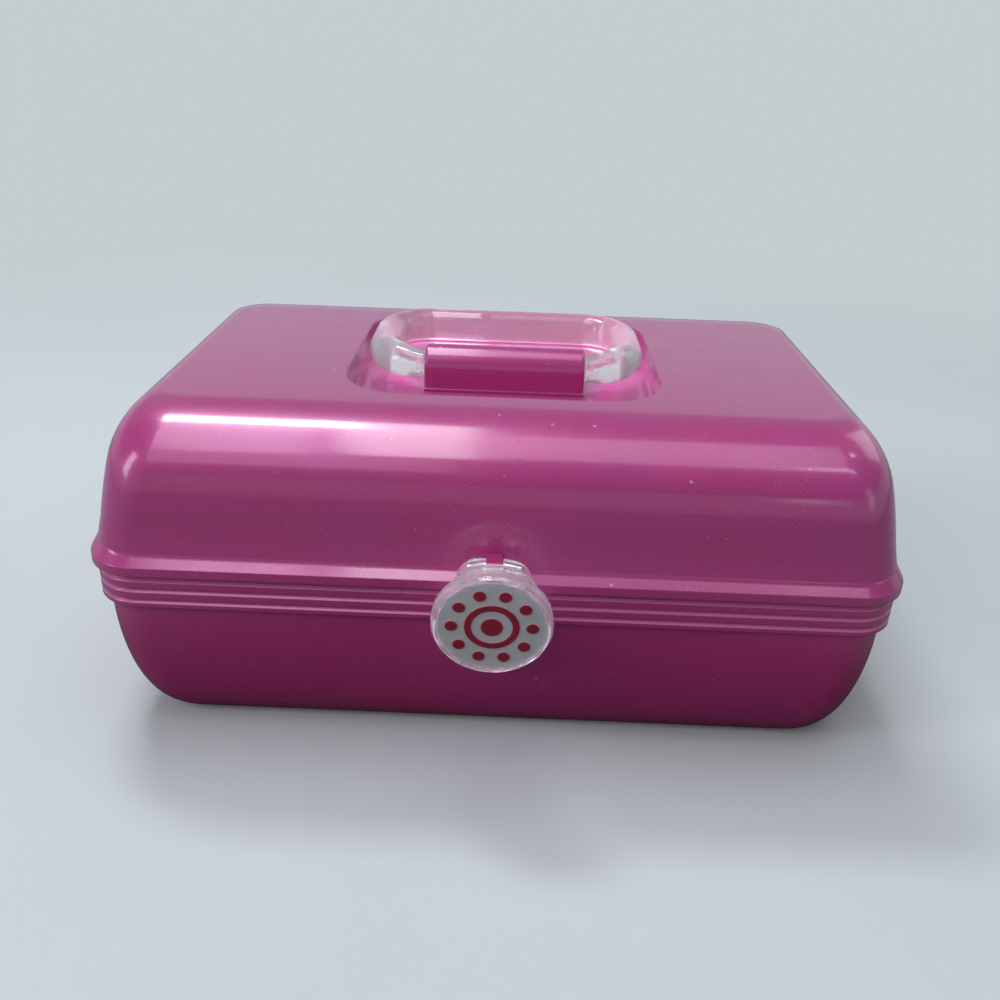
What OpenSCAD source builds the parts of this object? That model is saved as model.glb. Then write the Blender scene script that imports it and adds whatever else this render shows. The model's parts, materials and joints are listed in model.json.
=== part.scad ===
// Hard make-up case with a folding handle, a round clear latch, a rear hinge
// and two trays that rise on parallel arms as the lid opens.
// Millimetres. X to the right, -Y to the front, Z up. The origin is the centre
// of the underside, on the plane of the moulded foot ring.

/* [Case] */
// Width over the bead
case_w = 325; // [290:1:370]
// Depth over the bead
case_d = 234; // [222:1:260]
// Height of the lid's flat top above the table
case_h = 136; // [130:1:150]
// Height of the line where lid and base meet
parting_z = 77; // [72:0.5:82]
// Thickness of the moulded walls
wall = 2.4; // [1.8:0.1:3]
// Radius of the upright corners, seen from above
corner_r = 22; // [16:1:28]
// Gap between the rims of lid and base
rim_gap = 0.3; // [0.2:0.1:0.6]

/* [Lid form] */
// How far the bead stands out from the lid's wall
bead_out = 4; // [3:0.5:6]
// Height of the bead and the slope above it
bead_h = 11; // [8:0.5:13]
// Height of the upright band of the bead
bead_face_h = 3.9; // [2:0.1:5]
// How far the lid's wall leans in between bead and rounding
lid_draft = 3.5; // [1:0.5:5]
// Height of the rounding between wall and top
lid_round_h = 27; // [20:1:32]
// Width of that rounding at the two ends
lid_round_end = 15; // [10:1:22]
// Width of that rounding along the front and the back
lid_round_front = 39; // [30:1:42]
// How much the upright corners sharpen towards the top
corner_fade = 8; // [0:1:12]

/* [Base form] */
// How far the ribs stand back from the bead
rib_in = 2; // [1:0.5:3]
// Number of ribs under the parting line
rib_count = 3; // [2:1:4]
// Distance from one rib to the next
rib_pitch = 4.75; // [4:0.05:5.5]
// Height of the set-back band between the rim and the first rib
rib_band = 0.9; // [0.4:0.1:2]
// Depth of the grooves between the ribs
groove_d = 1.5; // [0.8:0.1:2]
// How far the base's wall stands back from the bead
base_in = 4.5; // [4:0.5:6]
// How far the base's wall curves in at the two ends
base_round_end = 16; // [10:1:22]
// How far the base's wall curves in at the front and the back
base_round_front = 19.5; // [12:0.5:26]
// Height of the lip that locates the lid
lip_h = 1.8; // [1:0.2:3]
// Thickness of that lip
lip_t = 1.3; // [1:0.1:2]
// Clearance between that lip and the lid
lip_gap = 0.35; // [0.2:0.05:0.6]
// Height of the foot ring
foot_h = 1; // [0.6:0.2:3]
// Width of the foot ring
foot_w = 5; // [3:0.5:8]
// Distance from the foot ring to the edge of the underside
foot_in = 8; // [5:1:14]

/* [Handle] */
// Width of the handle between the centres of its sides
handle_w = 115; // [104:1:124]
// Length of the handle from its hinge to the centre of its grip
handle_l = 69; // [60:1:74]
// Radius of the handle's bar
handle_r = 8; // [6.5:0.5:8.5]
// Radius of the bar's ends beside the barrel
handle_end_r = 6.8; // [5.5:0.1:7]
// Radius of the handle's hinge pins
handle_pin_r = 3.5; // [2.5:0.1:4.5]
// Length of each hinge pin
handle_pin_l = 13; // [8:1:18]
// Depth of the handle's axis under the lid's top
handle_drop = 2; // [1:0.5:4]
// Front-to-back place of the handle's hinge
handle_y = -13; // [-20:1:-6]
// Length of the barrel between the handle's ends
barrel_l = 72; // [60:1:76]
// Radius of the barrel's round top
barrel_r = 9.6; // [8.5:0.1:11]
// Width of the barrel's flange
flange_w = 1.6; // [1:0.2:2.5]
// Thickness of the barrel's flange
flange_t = 1.2; // [0.8:0.2:2]

/* [Recess] */
// Depth of the recess that the handle folds into
recess_depth = 11; // [10.8:0.1:13]
// Room between the handle and the recess at its sides
recess_side_gap = 3.5; // [3:0.5:6]
// Room between the handle and the recess at the back
recess_back_gap = 4; // [3:0.5:6]
// Distance from the handle's hinge to the front of the recess
recess_front = 47; // [40:1:50]
// Corner radius of the recess
recess_r = 28; // [20:1:34]
// Width of the rounding at the foot of the recess
foot_round_w = 3.8; // [2:0.2:5]
// Height of that rounding
foot_round_h = 4.5; // [2:0.5:6]
// How far the wall of the recess leans
recess_lean = 1.4; // [0.4:0.2:2]

/* [Latch] */
// Radius of the latch's disc
latch_r = 23; // [20:0.5:26]
// Thickness of the disc
latch_t = 7; // [5:0.5:9]
// Depth of the hollow boss behind the disc
latch_boss_d = 7.5; // [5:0.5:8.5]
// Lean of the disc, top forward
latch_tilt = 8; // [4:1:10]
// Height of the disc's centre under the parting line
latch_drop = 4.9; // [3:0.1:8]
// Distance from the bead to the disc's face
latch_out = 17.8; // [16.5:0.1:20]
// Height of the latch's hinge above the parting line
latch_hinge_up = 13.1; // [12:0.1:14]
// Distance from the bead to the latch's hinge
latch_hinge_out = 4.5; // [4.2:0.1:6]
// Radius of the latch's knuckles
latch_knuckle_r = 3.6; // [3:0.1:4]
// Width over the latch's two knuckles
latch_knuckle_w = 31; // [26:1:34]
// Width of the lid's lug between the knuckles
lug_w = 14; // [10:1:16]
// Radius of the latch's hinge pin
latch_pin_r = 1.25; // [1:0.05:1.5]
// Radius of the badge
badge_r = 20.6; // [17:0.1:21]
// Thickness of the badge
badge_t = 1.2; // [0.8:0.1:1.5]
// Depth of the badge's pocket
pocket_d = 2; // [1.9:0.1:3]
// Height of the coloured pattern on the badge
motif_t = 0.3; // [0.2:0.05:0.35]
// Number of dots in the pattern
motif_dots = 10; // [6:1:12]
// Radius of each dot
motif_dot_r = 2.3; // [1.5:0.1:2.6]
// Room between the dots and the badge's edge
motif_margin = 3.1; // [2.5:0.1:3.6]
// Room between the dots and the ring inside them
motif_gap = 2.6; // [1.5:0.1:3]
// Width of that ring
motif_ring_w = 2.5; // [1.5:0.1:2.5]
// Radius of the disc in the middle
motif_disc_r = 4.1; // [2.5:0.1:4.1]
// Width of the catch on the base
catch_w = 18; // [14:1:22]
// Thickness of the latch's hook
hook_t = 2.8; // [2:0.2:3.2]
// Room between the hook's tip and the base's wall
hook_room = 1.6; // [1:0.1:2]
// Outer radius of the boss
latch_boss_r = 19; // [17:0.5:20]
// Thickness of the boss's wall
boss_wall = 2.2; // [1.6:0.1:3]
// Width of the disc's softened edges
latch_edge = 1.6; // [1:0.1:2]

/* [Rear hinge] */
// Radius of the hinge knuckles
knuckle_r = 4; // [3.2:0.1:4.5]
// Length of one knuckle
knuckle_l = 16; // [12:1:20]
// Height of the webs that carry the knuckles
web_t = 6; // [4:0.5:8]
// Radius of the hinge pins
hinge_pin_r = 1.5; // [1.2:0.1:1.8]
// Distance from the centre of the case to each hinge
hinge_x = 90; // [60:1:110]
// Distance between the bead and the knuckles
hinge_gap = 0.6; // [0.5:0.1:1]

/* [Trays] */
// Height of each tray
tray_h = 26; // [20:1:28]
// Depth of each tray, front to back
tray_d = 166; // [150:1:172]
// Thickness of the trays' walls and floors
tray_wall = 1.8; // [1.4:0.1:2.4]
// Thickness of their end walls, which carry the rivets
end_wall = 2.2; // [1.8:0.1:2.6]
// Corner radius of the trays
tray_r = 12; // [8:1:12]
// Room between the trays and the lid's front wall
tray_front_gap = 5; // [4.5:0.5:8]
// Depth of the upper tray's bottom under the parting line
tray_drop = 3.5; // [2:0.5:5]
// Gap between the two trays
tray_gap = 2; // [1.5:0.5:4]
// Thickness of the dividers
divider_t = 1.6; // [1.2:0.1:2.4]
// Front-to-back size of the upper tray's long front compartment
front_cell_d = 46; // [30:1:60]
// Number of cells behind it
upper_cells = 4; // [2:1:5]
// Number of cells across the lower tray
lower_cells = 3; // [2:1:4]

/* [Tray arms] */
// Distance from arm pivot to upper tray pivot
arm_l = 76; // [70:1:80]
// Distance from arm pivot to lower tray pivot
arm_mid_l = 38; // [34:1:42]
// Closed angle of the upper tray pivots above level
arm_rise = 6; // [4:0.5:8]
// Closed angle of the lower tray pivots below level
arm_mid_dip = 8; // [6:0.5:10]
// Distance between the rear and the front arm
arm_space = 88; // [84:1:92]
// Front-to-back place of the rear arms' pivots
arm_y = 78; // [72:1:82]
// Depth of the arm pivots under the parting line
arm_drop = 6; // [6:0.2:8]
// Thickness of the arms
arm_t = 2.5; // [2:0.1:3]
// Radius of the arms' rounded ends
arm_r = 5; // [4.2:0.1:5.5]
// Distance from lid hinge to the link's pivot in the lid
crank_l = 40; // [34:1:44]
// Closed angle of that pivot above level
crank_rise = 20; // [16:1:24]
// Thickness of the links
link_t = 2; // [1.6:0.1:2.5]
// Radius of the links' rounded ends
link_r = 4; // [3.4:0.1:5]
// Length of the bosses on the base's end walls
boss_l = 10; // [9.5:0.5:12]
// Radius of the bosses
boss_r = 5.2; // [4.4:0.1:5.4]
// Radius of the rivets' shanks
rivet_r = 2; // [1.5:0.1:2.2]
// Radius of the rivets' heads
rivet_head_r = 3.4; // [3:0.1:3.6]
// Thickness of the rivets' heads
rivet_head_t = 1.4; // [1:0.1:1.6]
// Gap between the layers of the arm stack
side_gap = 0.4; // [0.3:0.05:0.6]

/* [Mirror] */
// Width of the mirror's frame
mirror_w = 196; // [160:1:230]
// Depth of the frame, front to back
mirror_d = 104; // [80:1:120]
// Thickness of the frame
mirror_frame_t = 5.2; // [4:0.2:6]
// Width of the frame's border
mirror_border = 7; // [5:0.5:10]
// Corner radius of the frame
mirror_r = 10; // [7:0.5:14]
// Corner radius of the glass
glass_r = 6; // [4:0.5:8]
// Thickness of the mirror glass
glass_t = 2; // [1.5:0.1:3]
// Depth of the glass behind the frame's face
glass_set = 0.6; // [0.3:0.1:1]

/* [Hidden] */
$fn = 48;

case_color = [0.66, 0.16, 0.42];
clear_color = [0.93, 0.9, 0.95, 0.5];
tray_color = [0.93, 0.86, 0.92];
steel_color = [0.75, 0.76, 0.78];

corner_steps = 8;
round_steps = 8;
// Running clearance of pins in their bores, and overlap of pieces that are one solid
fit = 0.05;
pivot_fit = 0.1;
merge = 1;
// How far a knuckle's cheeks stand inside its round
round_in = 0.4;
// Softening of the lid's edges
edge_soft = 0.7;
// How much sharper the base's corners are than the bead's
base_corner_in = 2;

half_w = case_w/2;
half_d = case_d/2;
lid_wall_z = parting_z + bead_h;
lid_round_z = case_h - lid_round_h;
base_rim_z = parting_z - rim_gap;
rib_top_z = base_rim_z - rib_band;
rib_end_z = rib_top_z - rib_pitch*rib_count;
wall_top_z = rib_end_z - groove_d;

// Handle, barrel and recess
handle_z = case_h - handle_drop;
recess_floor = case_h - recess_depth;
recess_hw = handle_w/2 + handle_r + recess_side_gap;
recess_y0 = handle_y - recess_front;
recess_y1 = handle_y + handle_l + handle_r + recess_back_gap;
recess_cy = (recess_y0 + recess_y1)/2;
recess_hd = (recess_y1 - recess_y0)/2;
end_x = barrel_l/2 + side_gap;
handle_bend = handle_w/2 - end_x - merge;

// Hinge axes, as [y, z]
lid_axis = [half_d + hinge_gap + knuckle_r, parting_z];
latch_axis = [-half_d - latch_hinge_out, parting_z + latch_hinge_up];
latch_face = [-half_d - latch_out, parting_z - latch_drop];

// Tray arms, as [y, z]
function reach(len, rise) = [-len*cos(rise), len*sin(rise)];
rear_pivot = [arm_y, parting_z - arm_drop];
front_pivot = rear_pivot - [arm_space, 0];
upper_reach = reach(arm_l, arm_rise);
lower_reach = reach(arm_mid_l, -arm_mid_dip);
crank_reach = reach(crank_l, crank_rise);

// The arm stack beside each end wall, from the wall inwards
lip_in = bead_out + wall + lip_gap;
end_inner = half_w - lip_in - lip_t;
boss_x = end_inner - boss_l;
arm_x = boss_x - side_gap - arm_t;
inner_head_x = arm_x - side_gap - rivet_head_t;
tray_hw = inner_head_x - side_gap;
outer_head_x = arm_x + arm_t + side_gap;
link_x = outer_head_x + rivet_head_t + side_gap;
lid_boss_x = link_x + link_t + side_gap;

// Trays
tray_y0 = -(half_d - bead_out - lid_draft - wall) + tray_front_gap;
tray_y1 = tray_y0 + tray_d;
upper_z = parting_z - tray_drop;
lower_z = upper_z - tray_gap - tray_h;

// ---- Shared shapes ----

// A ring of points round a rounded rectangle
function ring(hx, hy, r, z, cy = 0) = [
    for (q = [0:3], i = [0:corner_steps])
        let (a = 90*q + 90*i/corner_steps, sx = (q == 0 || q == 3) ? 1 : -1, sy = q < 2 ? 1 : -1)
        [sx*(hx - r) + r*cos(a), cy + sy*(hy - r) + r*sin(a), z]
];

// A ring that stands a given distance inside the bead's outline
function inset_ring(inset, z) =
    ring(half_w - inset, half_d - inset, corner_r - min(inset, corner_r/3), z);

// A closed skin over a list of rings
module loft(rings) {
    n = len(rings[0]);
    last = len(rings) - 1;
    polyhedron(
        points = [for (one = rings) each one],
        faces = concat(
            [[for (i = [0:n - 1]) i]],
            [for (k = [0:last - 1], i = [0:n - 1])
                let (j = (i + 1) % n)
                each [[k*n + i, (k + 1)*n + i, (k + 1)*n + j], [k*n + i, (k + 1)*n + j, k*n + j]]],
            [[for (i = [n - 1:-1:0]) last*n + i]]
        ),
        convexity = 6
    );
}

// A round bar along X, at [y, z]
module bar_x(x0, x1, r, at) {
    translate([x0, at.x, at.y]) rotate([0, 90, 0]) cylinder(h = x1 - x0, r = r);
}

// An upright plate of thickness t drawn in the Y-Z plane
module plate_x(x0, t) {
    translate([x0, 0, 0]) rotate([90, 0, 90]) linear_extrude(t) children();
}

module rounded_rect(w, d, r) {
    square([w - 2*r, d], center = true);
    square([w, d - 2*r], center = true);
    for (x = [-1, 1], y = [-1, 1]) translate([x*(w/2 - r), y*(d/2 - r)]) circle(r);
}

// A rivet through a stack along X: shank from x0 to x1 and a head that starts at head_x
module rivet(x0, x1, head_x, at) {
    bar_x(x0, x1, rivet_r, at);
    bar_x(head_x, head_x + rivet_head_t, rivet_head_r, at);
}

// The same piece at the right end or, mirrored, at the left end
module side(s) {
    mirror([s < 0 ? 1 : 0, 0, 0]) children();
}

// ---- Base ----

// Outside of the base from the underside up to the ribs
function base_wall_ring(t, skin, bottom) =
    let (c = 1 - cos(t), s = 1 - sin(t))
    ring(half_w - base_in - skin - (base_round_end - skin)*c,
        half_d - base_in - skin - (base_round_front - skin)*c,
        corner_r - base_corner_in - skin/2, bottom + (wall_top_z - bottom)*s);

function foot_ring(inset, z) =
    ring(half_w - base_in - base_round_end - inset, half_d - base_in - base_round_front - inset,
        corner_r - inset/2, z);

// One rib from the groove under it to its rounded top, as shares of [groove depth, pitch];
// the lowest one is shorter
rib_shape = [[1, 0.03], [0, 0.14], [0, 0.86], [0.45, 1]];
low_rib_shape = [[1, 0.2], [0, 0.36], [0, 0.86], [0.45, 1]];
function rib_rings(k) =
    let (z = rib_top_z - rib_pitch*(k + 1))
    [for (p = k == rib_count - 1 ? low_rib_shape : rib_shape)
        inset_ring(rib_in + groove_d*p.x, z + rib_pitch*p.y)];

base_rings = concat(
    [foot_ring(foot_in + foot_w, foot_h), foot_ring(foot_in + foot_w, 0), foot_ring(foot_in, 0),
        foot_ring(foot_in, foot_h)],
    [for (i = [round_steps:-1:0]) base_wall_ring(90*i/round_steps, 0, foot_h)],
    [for (k = [rib_count - 1:-1:0]) each rib_rings(k)],
    [for (z = [rib_top_z, base_rim_z]) inset_ring(rib_in + groove_d, z)],
    [inset_ring(lip_in, base_rim_z), inset_ring(lip_in, base_rim_z + lip_h),
        inset_ring(lip_in + lip_t, base_rim_z + lip_h), inset_ring(lip_in + lip_t, rib_end_z)],
    [for (i = [0:round_steps]) base_wall_ring(90*i/round_steps, wall, foot_h + wall)]
);

// One half of a rear hinge: knuckles centred at the given places, with webs to the shell
module knuckles(places, web_z0, web_z1) {
    for (x = places) {
        bar_x(x - knuckle_l/2, x + knuckle_l/2, knuckle_r, lid_axis);
        translate([x - knuckle_l/2, half_d - bead_out, web_z0])
            cube([knuckle_l, lid_axis.x - half_d + bead_out, web_z1 - web_z0]);
    }
}

knuckle_step = knuckle_l + side_gap;
base_knuckles = [for (s = [-1, 1], e = [-1, 1]) s*hinge_x + e*knuckle_step];
lid_knuckles = [-hinge_x, hinge_x];

module base_shell() {
    color(case_color)
    difference() {
        union() {
            loft(base_rings);
            knuckles(base_knuckles, base_rim_z - web_t, base_rim_z);
            for (s = [-1, 1], p = [rear_pivot, front_pivot]) side(s)
                bar_x(boss_x, end_inner + merge, boss_r, p);
            catch();
        }
        bar_x(-half_w, half_w, hinge_pin_r + fit, lid_axis);
        for (s = [-1, 1], p = [rear_pivot, front_pivot]) side(s)
            bar_x(boss_x - merge, end_inner - merge, rivet_r + fit, p);
    }
}

// The ledge on the lowest rib that the latch's hook holds
catch_z = rib_end_z;
catch_t = rib_pitch;
module catch() {
    translate([-catch_w/2, -half_d + rib_in - merge/2, catch_z])
        cube([catch_w, base_in - rib_in + 1.5*merge, catch_t]);
}

module base_pivots() {
    color(steel_color)
    for (s = [-1, 1], p = [rear_pivot, front_pivot]) side(s)
        rivet(inner_head_x, end_inner - 2*merge, inner_head_x, p);
}

module hinge_pins() {
    reach_x = 1.5*knuckle_l + side_gap;
    color(steel_color)
    for (x = lid_knuckles) bar_x(x - reach_x, x + reach_x, hinge_pin_r, lid_axis);
}

// ---- Lid ----

// The rounding between the lid's wall and its flat top
function lid_round_ring(t, skin) =
    let (c = 1 - cos(t), inset = bead_out + lid_draft + skin)
    ring(half_w - inset - (lid_round_end - skin)*c, half_d - inset - (lid_round_front - skin)*c,
        corner_r - skin/2 - corner_fade*c, lid_round_z + (lid_round_h - skin)*sin(t));

lid_rings = concat(
    [for (i = [round_steps:-1:0]) lid_round_ring(90*i/round_steps, wall)],
    [inset_ring(bead_out + wall, lid_wall_z), inset_ring(bead_out + wall, parting_z),
        inset_ring(edge_soft, parting_z), inset_ring(0, parting_z + edge_soft),
        inset_ring(0, parting_z + bead_face_h),
        inset_ring(edge_soft, parting_z + bead_face_h + edge_soft),
        inset_ring(bead_out - edge_soft, lid_wall_z - edge_soft),
        inset_ring(bead_out, lid_wall_z + edge_soft)],
    [for (i = [0:round_steps]) lid_round_ring(90*i/round_steps, 0)]
);

// Outline of the recess at height up above its floor, grown by skin
function recess_ring(inset, up, skin) =
    ring(recess_hw - inset + skin, recess_hd - inset + skin, recess_r - inset + skin,
        recess_floor + up, recess_cy);

// The dish, as [inset, height]: a rounded foot, a leaning wall and a softened upper edge
dish_foot = [for (a = [0:30:90])
    [edge_soft + recess_lean + foot_round_w*(1 - sin(a)), foot_round_h*(1 - cos(a))]];
dish = concat(dish_foot, [[edge_soft, recess_depth - edge_soft], [0, recess_depth]]);

module lid_shell() {
    color(case_color)
    difference() {
        union() {
            difference() {
                union() {
                    loft(lid_rings);
                    loft(concat([for (p = dish_foot) recess_ring(p.x, p.y - wall, wall)],
                        [recess_ring(edge_soft, recess_depth - wall/2, wall)]));
                }
                loft(concat([for (p = dish) recess_ring(p.x, p.y, 0)],
                    [recess_ring(-edge_soft, recess_depth + merge, 0)]));
            }
            knuckles(lid_knuckles, parting_z, parting_z + web_t);
            for (s = [-1, 1]) side(s)
                bar_x(lid_boss_x, half_w - bead_out - wall + merge, boss_r, lid_axis + crank_reach);
            latch_lug();
        }
        bar_x(-half_w, half_w, hinge_pin_r + fit, lid_axis);
        bar_x(-half_w/2, half_w/2, latch_pin_r + fit, latch_axis);
        for (s = [-1, 1]) side(s)
            bar_x(lid_boss_x - merge, half_w - bead_out - wall, rivet_r + fit, lid_axis + crank_reach);
    }
}

// The lug on the bead that carries the latch
module latch_lug() {
    r = latch_knuckle_r - side_gap/2;
    cheek = r - round_in;
    bar_x(-lug_w/2, lug_w/2, r, latch_axis);
    translate([-lug_w/2, latch_axis.x, latch_axis.y - cheek])
        cube([lug_w, latch_hinge_out + bead_out + merge, 2*cheek]);
}

module lid_pivots() {
    head_x = link_x - side_gap - rivet_head_t;
    color(steel_color)
    for (s = [-1, 1]) side(s)
        rivet(head_x, half_w - bead_out - wall - merge, head_x, lid_axis + crank_reach);
}

module mirror_frame() {
    z = recess_floor - wall - mirror_frame_t;
    opening = glass_set + glass_t + side_gap/2;
    color(case_color)
    difference() {
        translate([0, 0, z]) linear_extrude(mirror_frame_t) rounded_rect(mirror_w, mirror_d, mirror_r);
        translate([0, 0, z - merge]) linear_extrude(opening + merge)
            rounded_rect(mirror_w - 2*mirror_border, mirror_d - 2*mirror_border, glass_r);
    }
}

module mirror_glass() {
    z = recess_floor - wall - mirror_frame_t + glass_set;
    color([0.85, 0.88, 0.9])
    translate([0, 0, z]) linear_extrude(glass_t)
        rounded_rect(mirror_w - 2*mirror_border - side_gap, mirror_d - 2*mirror_border - side_gap,
            glass_r - side_gap/2);
}

// ---- Handle ----

module barrel_outline(grow) {
    w = 2*(barrel_r + grow);
    translate([-w/2, 0]) square([w, handle_z - recess_floor]);
    translate([0, handle_z - recess_floor]) circle(barrel_r + grow);
}

module handle_barrel() {
    color(case_color)
    difference() {
        union() {
            intersection() {
                translate([0, handle_y, recess_floor]) plate_x(-barrel_l/2, barrel_l) barrel_outline(0);
                translate([-half_w, -half_d, recess_floor]) cube([case_w, case_d, case_h]);
            }
            translate([-barrel_l/2, handle_y - barrel_r - flange_w, recess_floor])
                cube([barrel_l, 2*(barrel_r + flange_w), flange_t]);
        }
        for (s = [-1, 1]) side(s)
            bar_x(barrel_l/2 - handle_pin_l, barrel_l/2 + merge, handle_pin_r + fit, [handle_y, handle_z]);
    }
}

// A quarter bend of the handle's bar, centred at the given corner and turned by a
module handle_bend_at(x, y, a) {
    translate([x, y, handle_z]) rotate(a) rotate_extrude(angle = 90)
        translate([handle_bend, 0]) circle(handle_r);
}

module handle_loop() {
    hx = handle_w/2 - handle_bend;
    y0 = handle_y + handle_bend;
    y1 = handle_y + handle_l - handle_bend;
    grip = [handle_y + handle_l, handle_z];
    color(clear_color) {
        bar_x(-hx, hx, handle_r, grip);
        for (s = [-1, 1]) side(s) {
            handle_bend_at(hx, y1, 0);
            handle_bend_at(hx, y0, -90);
            translate([handle_w/2, y0, handle_z]) rotate([-90, 0, 0]) cylinder(h = y1 - y0, r = handle_r);
            translate([end_x, handle_y, handle_z]) rotate([0, 90, 0])
                cylinder(h = hx - end_x, r1 = handle_end_r, r2 = handle_r);
            bar_x(end_x - handle_pin_l + side_gap, end_x, handle_pin_r, [handle_y, handle_z]);
        }
    }
}

// ---- Latch ----

// Pieces of the latch are drawn on its face: X to the right, Y up the face, Z out of it
module on_latch() {
    translate([0, latch_face.x, latch_face.y]) rotate([90 + latch_tilt, 0, 0]) children();
}

// A place given as [y, z] in the case, as [up, out] on the latch's face
function on_face(p) =
    let (d = p - latch_face)
    [-d.x*sin(latch_tilt) + d.y*cos(latch_tilt), -d.x*cos(latch_tilt) - d.y*sin(latch_tilt)];

hinge_on_face = on_face(latch_axis);
hook_tip = [-half_d + base_in - hook_room, catch_z - side_gap];
tip_on_face = on_face(hook_tip);

// Half of the section through the disc and the hollow boss behind it, as [radius, out]
module latch_outline() {
    back = -latch_t - latch_boss_d;
    polygon([[0, 0], [latch_r - latch_edge, 0], [latch_r, -latch_edge],
        [latch_r, latch_edge - latch_t], [latch_r - latch_edge, -latch_t], [latch_boss_r, -latch_t],
        [latch_boss_r, back], [latch_boss_r - boss_wall, back], [latch_boss_r - boss_wall, -latch_t],
        [0, -latch_t]]);
}

module latch_body() {
    cheek = latch_knuckle_r - round_in;
    color(clear_color)
    difference() {
        union() {
            on_latch() {
                rotate_extrude() latch_outline();
                for (s = [-1, 1]) side(s)
                    translate([lug_w/2 + side_gap, hinge_on_face.x - cheek, hinge_on_face.y])
                        cube([(latch_knuckle_w - lug_w)/2 - side_gap, 2*cheek,
                            -latch_t + merge - hinge_on_face.y]);
                translate([-catch_w/2 + merge, tip_on_face.x - hook_t, tip_on_face.y])
                    cube([catch_w - 2*merge, hook_t, -latch_t + merge - tip_on_face.y]);
            }
            for (s = [-1, 1]) side(s)
                bar_x(lug_w/2 + side_gap, latch_knuckle_w/2, latch_knuckle_r, latch_axis);
        }
        on_latch() translate([0, 0, -pocket_d]) cylinder(h = pocket_d + merge, r = badge_r + side_gap/2);
        on_latch() translate([-lug_w/2 - side_gap/2, 0, -latch_t - latch_boss_d - merge])
            cube([lug_w + side_gap, 2*latch_boss_r, latch_boss_d]);
        bar_x(-latch_knuckle_w, latch_knuckle_w, latch_pin_r + fit, latch_axis);
    }
}

module latch_pin() {
    half = latch_knuckle_w/2 - side_gap;
    color(steel_color) bar_x(-half, half, latch_pin_r, latch_axis);
}

badge_z = -pocket_d + side_gap/4;
module latch_badge() {
    color([0.9, 0.9, 0.9])
    on_latch() translate([0, 0, badge_z]) cylinder(h = badge_t, r = badge_r);
}

// A disc in the middle, a ring round it and a circle of dots
module latch_motif() {
    dots_at = badge_r - motif_margin - motif_dot_r;
    ring_r = dots_at - motif_dot_r - motif_gap;
    color([0.72, 0.1, 0.16])
    on_latch() translate([0, 0, badge_z + badge_t]) linear_extrude(motif_t) {
        circle(motif_disc_r);
        difference() {
            circle(ring_r);
            circle(ring_r - motif_ring_w);
        }
        for (i = [0:motif_dots - 1]) rotate(360*i/motif_dots) translate([dots_at, 0]) circle(motif_dot_r);
    }
}

// ---- Trays ----

module tray(z, cells) {
    color(tray_color)
    difference() {
        translate([0, (tray_y0 + tray_y1)/2, z]) linear_extrude(tray_h)
            rounded_rect(2*tray_hw, tray_d, tray_r);
        for (c = cells)
            translate([(c[0] + c[1])/2, (c[2] + c[3])/2, z + tray_wall]) linear_extrude(tray_h)
                rounded_rect(c[1] - c[0], c[3] - c[2], tray_r - tray_wall);
        children();
    }
}

// Equal cells in a row across the tray, as [x0, x1, y0, y1]
function row(count, y0, y1) =
    let (inner = 2*(tray_hw - end_wall), w = (inner - (count - 1)*divider_t)/count)
    [for (i = [0:count - 1]) let (x = -inner/2 + i*(w + divider_t)) [x, x + w, y0, y1]];

cell_y0 = tray_y0 + tray_wall;
cell_y1 = tray_y1 - tray_wall;
split_y = cell_y0 + front_cell_d;

module tray_bores(away) {
    for (s = [-1, 1], p = [rear_pivot, front_pivot]) side(s)
        bar_x(tray_hw - 2*end_wall, tray_hw + merge, rivet_r + fit, p + away);
}

module upper_tray() {
    tray(upper_z, concat(row(1, cell_y0, split_y), row(upper_cells, split_y + divider_t, cell_y1)))
        tray_bores(upper_reach);
}

module lower_tray() {
    tray(lower_z, row(lower_cells, cell_y0, cell_y1)) tray_bores(lower_reach);
}

// Rivets from inside the tray, through its end wall and the arm
module tray_pivots(away) {
    inner_x = tray_hw - end_wall - rivet_head_t;
    color(steel_color)
    for (s = [-1, 1], p = [rear_pivot, front_pivot]) side(s) {
        rivet(inner_x, outer_head_x + rivet_head_t, outer_head_x, p + away);
        bar_x(inner_x, inner_x + rivet_head_t, rivet_head_r, p + away);
    }
}

module upper_tray_pivots() {
    tray_pivots(upper_reach);
}

module lower_tray_pivots() {
    tray_pivots(lower_reach);
}

// ---- Arms and links ----

// A flat arm over a list of pivots, the first of them on the case
module arm(pivots) {
    color(steel_color)
    difference() {
        plate_x(arm_x, arm_t) hull() for (p = pivots) translate(p) circle(arm_r, $fn = 32);
        for (p = pivots) bar_x(arm_x - merge, arm_x + arm_t + merge, rivet_r + pivot_fit, p);
    }
}

module rear_arm() {
    arm([rear_pivot, rear_pivot + lower_reach, rear_pivot + upper_reach, rear_pivot + crank_reach]);
}

module front_arm() {
    arm([front_pivot, front_pivot + lower_reach, front_pivot + upper_reach]);
}

module link_pivot() {
    color(steel_color) {
        rivet(inner_head_x, lid_boss_x + rivet_head_t, lid_boss_x, rear_pivot + crank_reach);
        bar_x(inner_head_x, inner_head_x + rivet_head_t, rivet_head_r, rear_pivot + crank_reach);
    }
}

module drag_link() {
    ends = [rear_pivot + crank_reach, lid_axis + crank_reach];
    color(steel_color)
    difference() {
        plate_x(link_x, link_t) hull() for (p = ends) translate(p) circle(link_r, $fn = 32);
        for (p = ends) bar_x(link_x - merge, link_x + link_t + merge, rivet_r + pivot_fit, p);
    }
}

module rear_arm_left() { side(-1) rear_arm(); }
module rear_arm_right() { side(1) rear_arm(); }
module front_arm_left() { side(-1) front_arm(); }
module front_arm_right() { side(1) front_arm(); }
module link_pivot_left() { side(-1) link_pivot(); }
module link_pivot_right() { side(1) link_pivot(); }
module drag_link_left() { side(-1) drag_link(); }
module drag_link_right() { side(1) drag_link(); }

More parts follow.
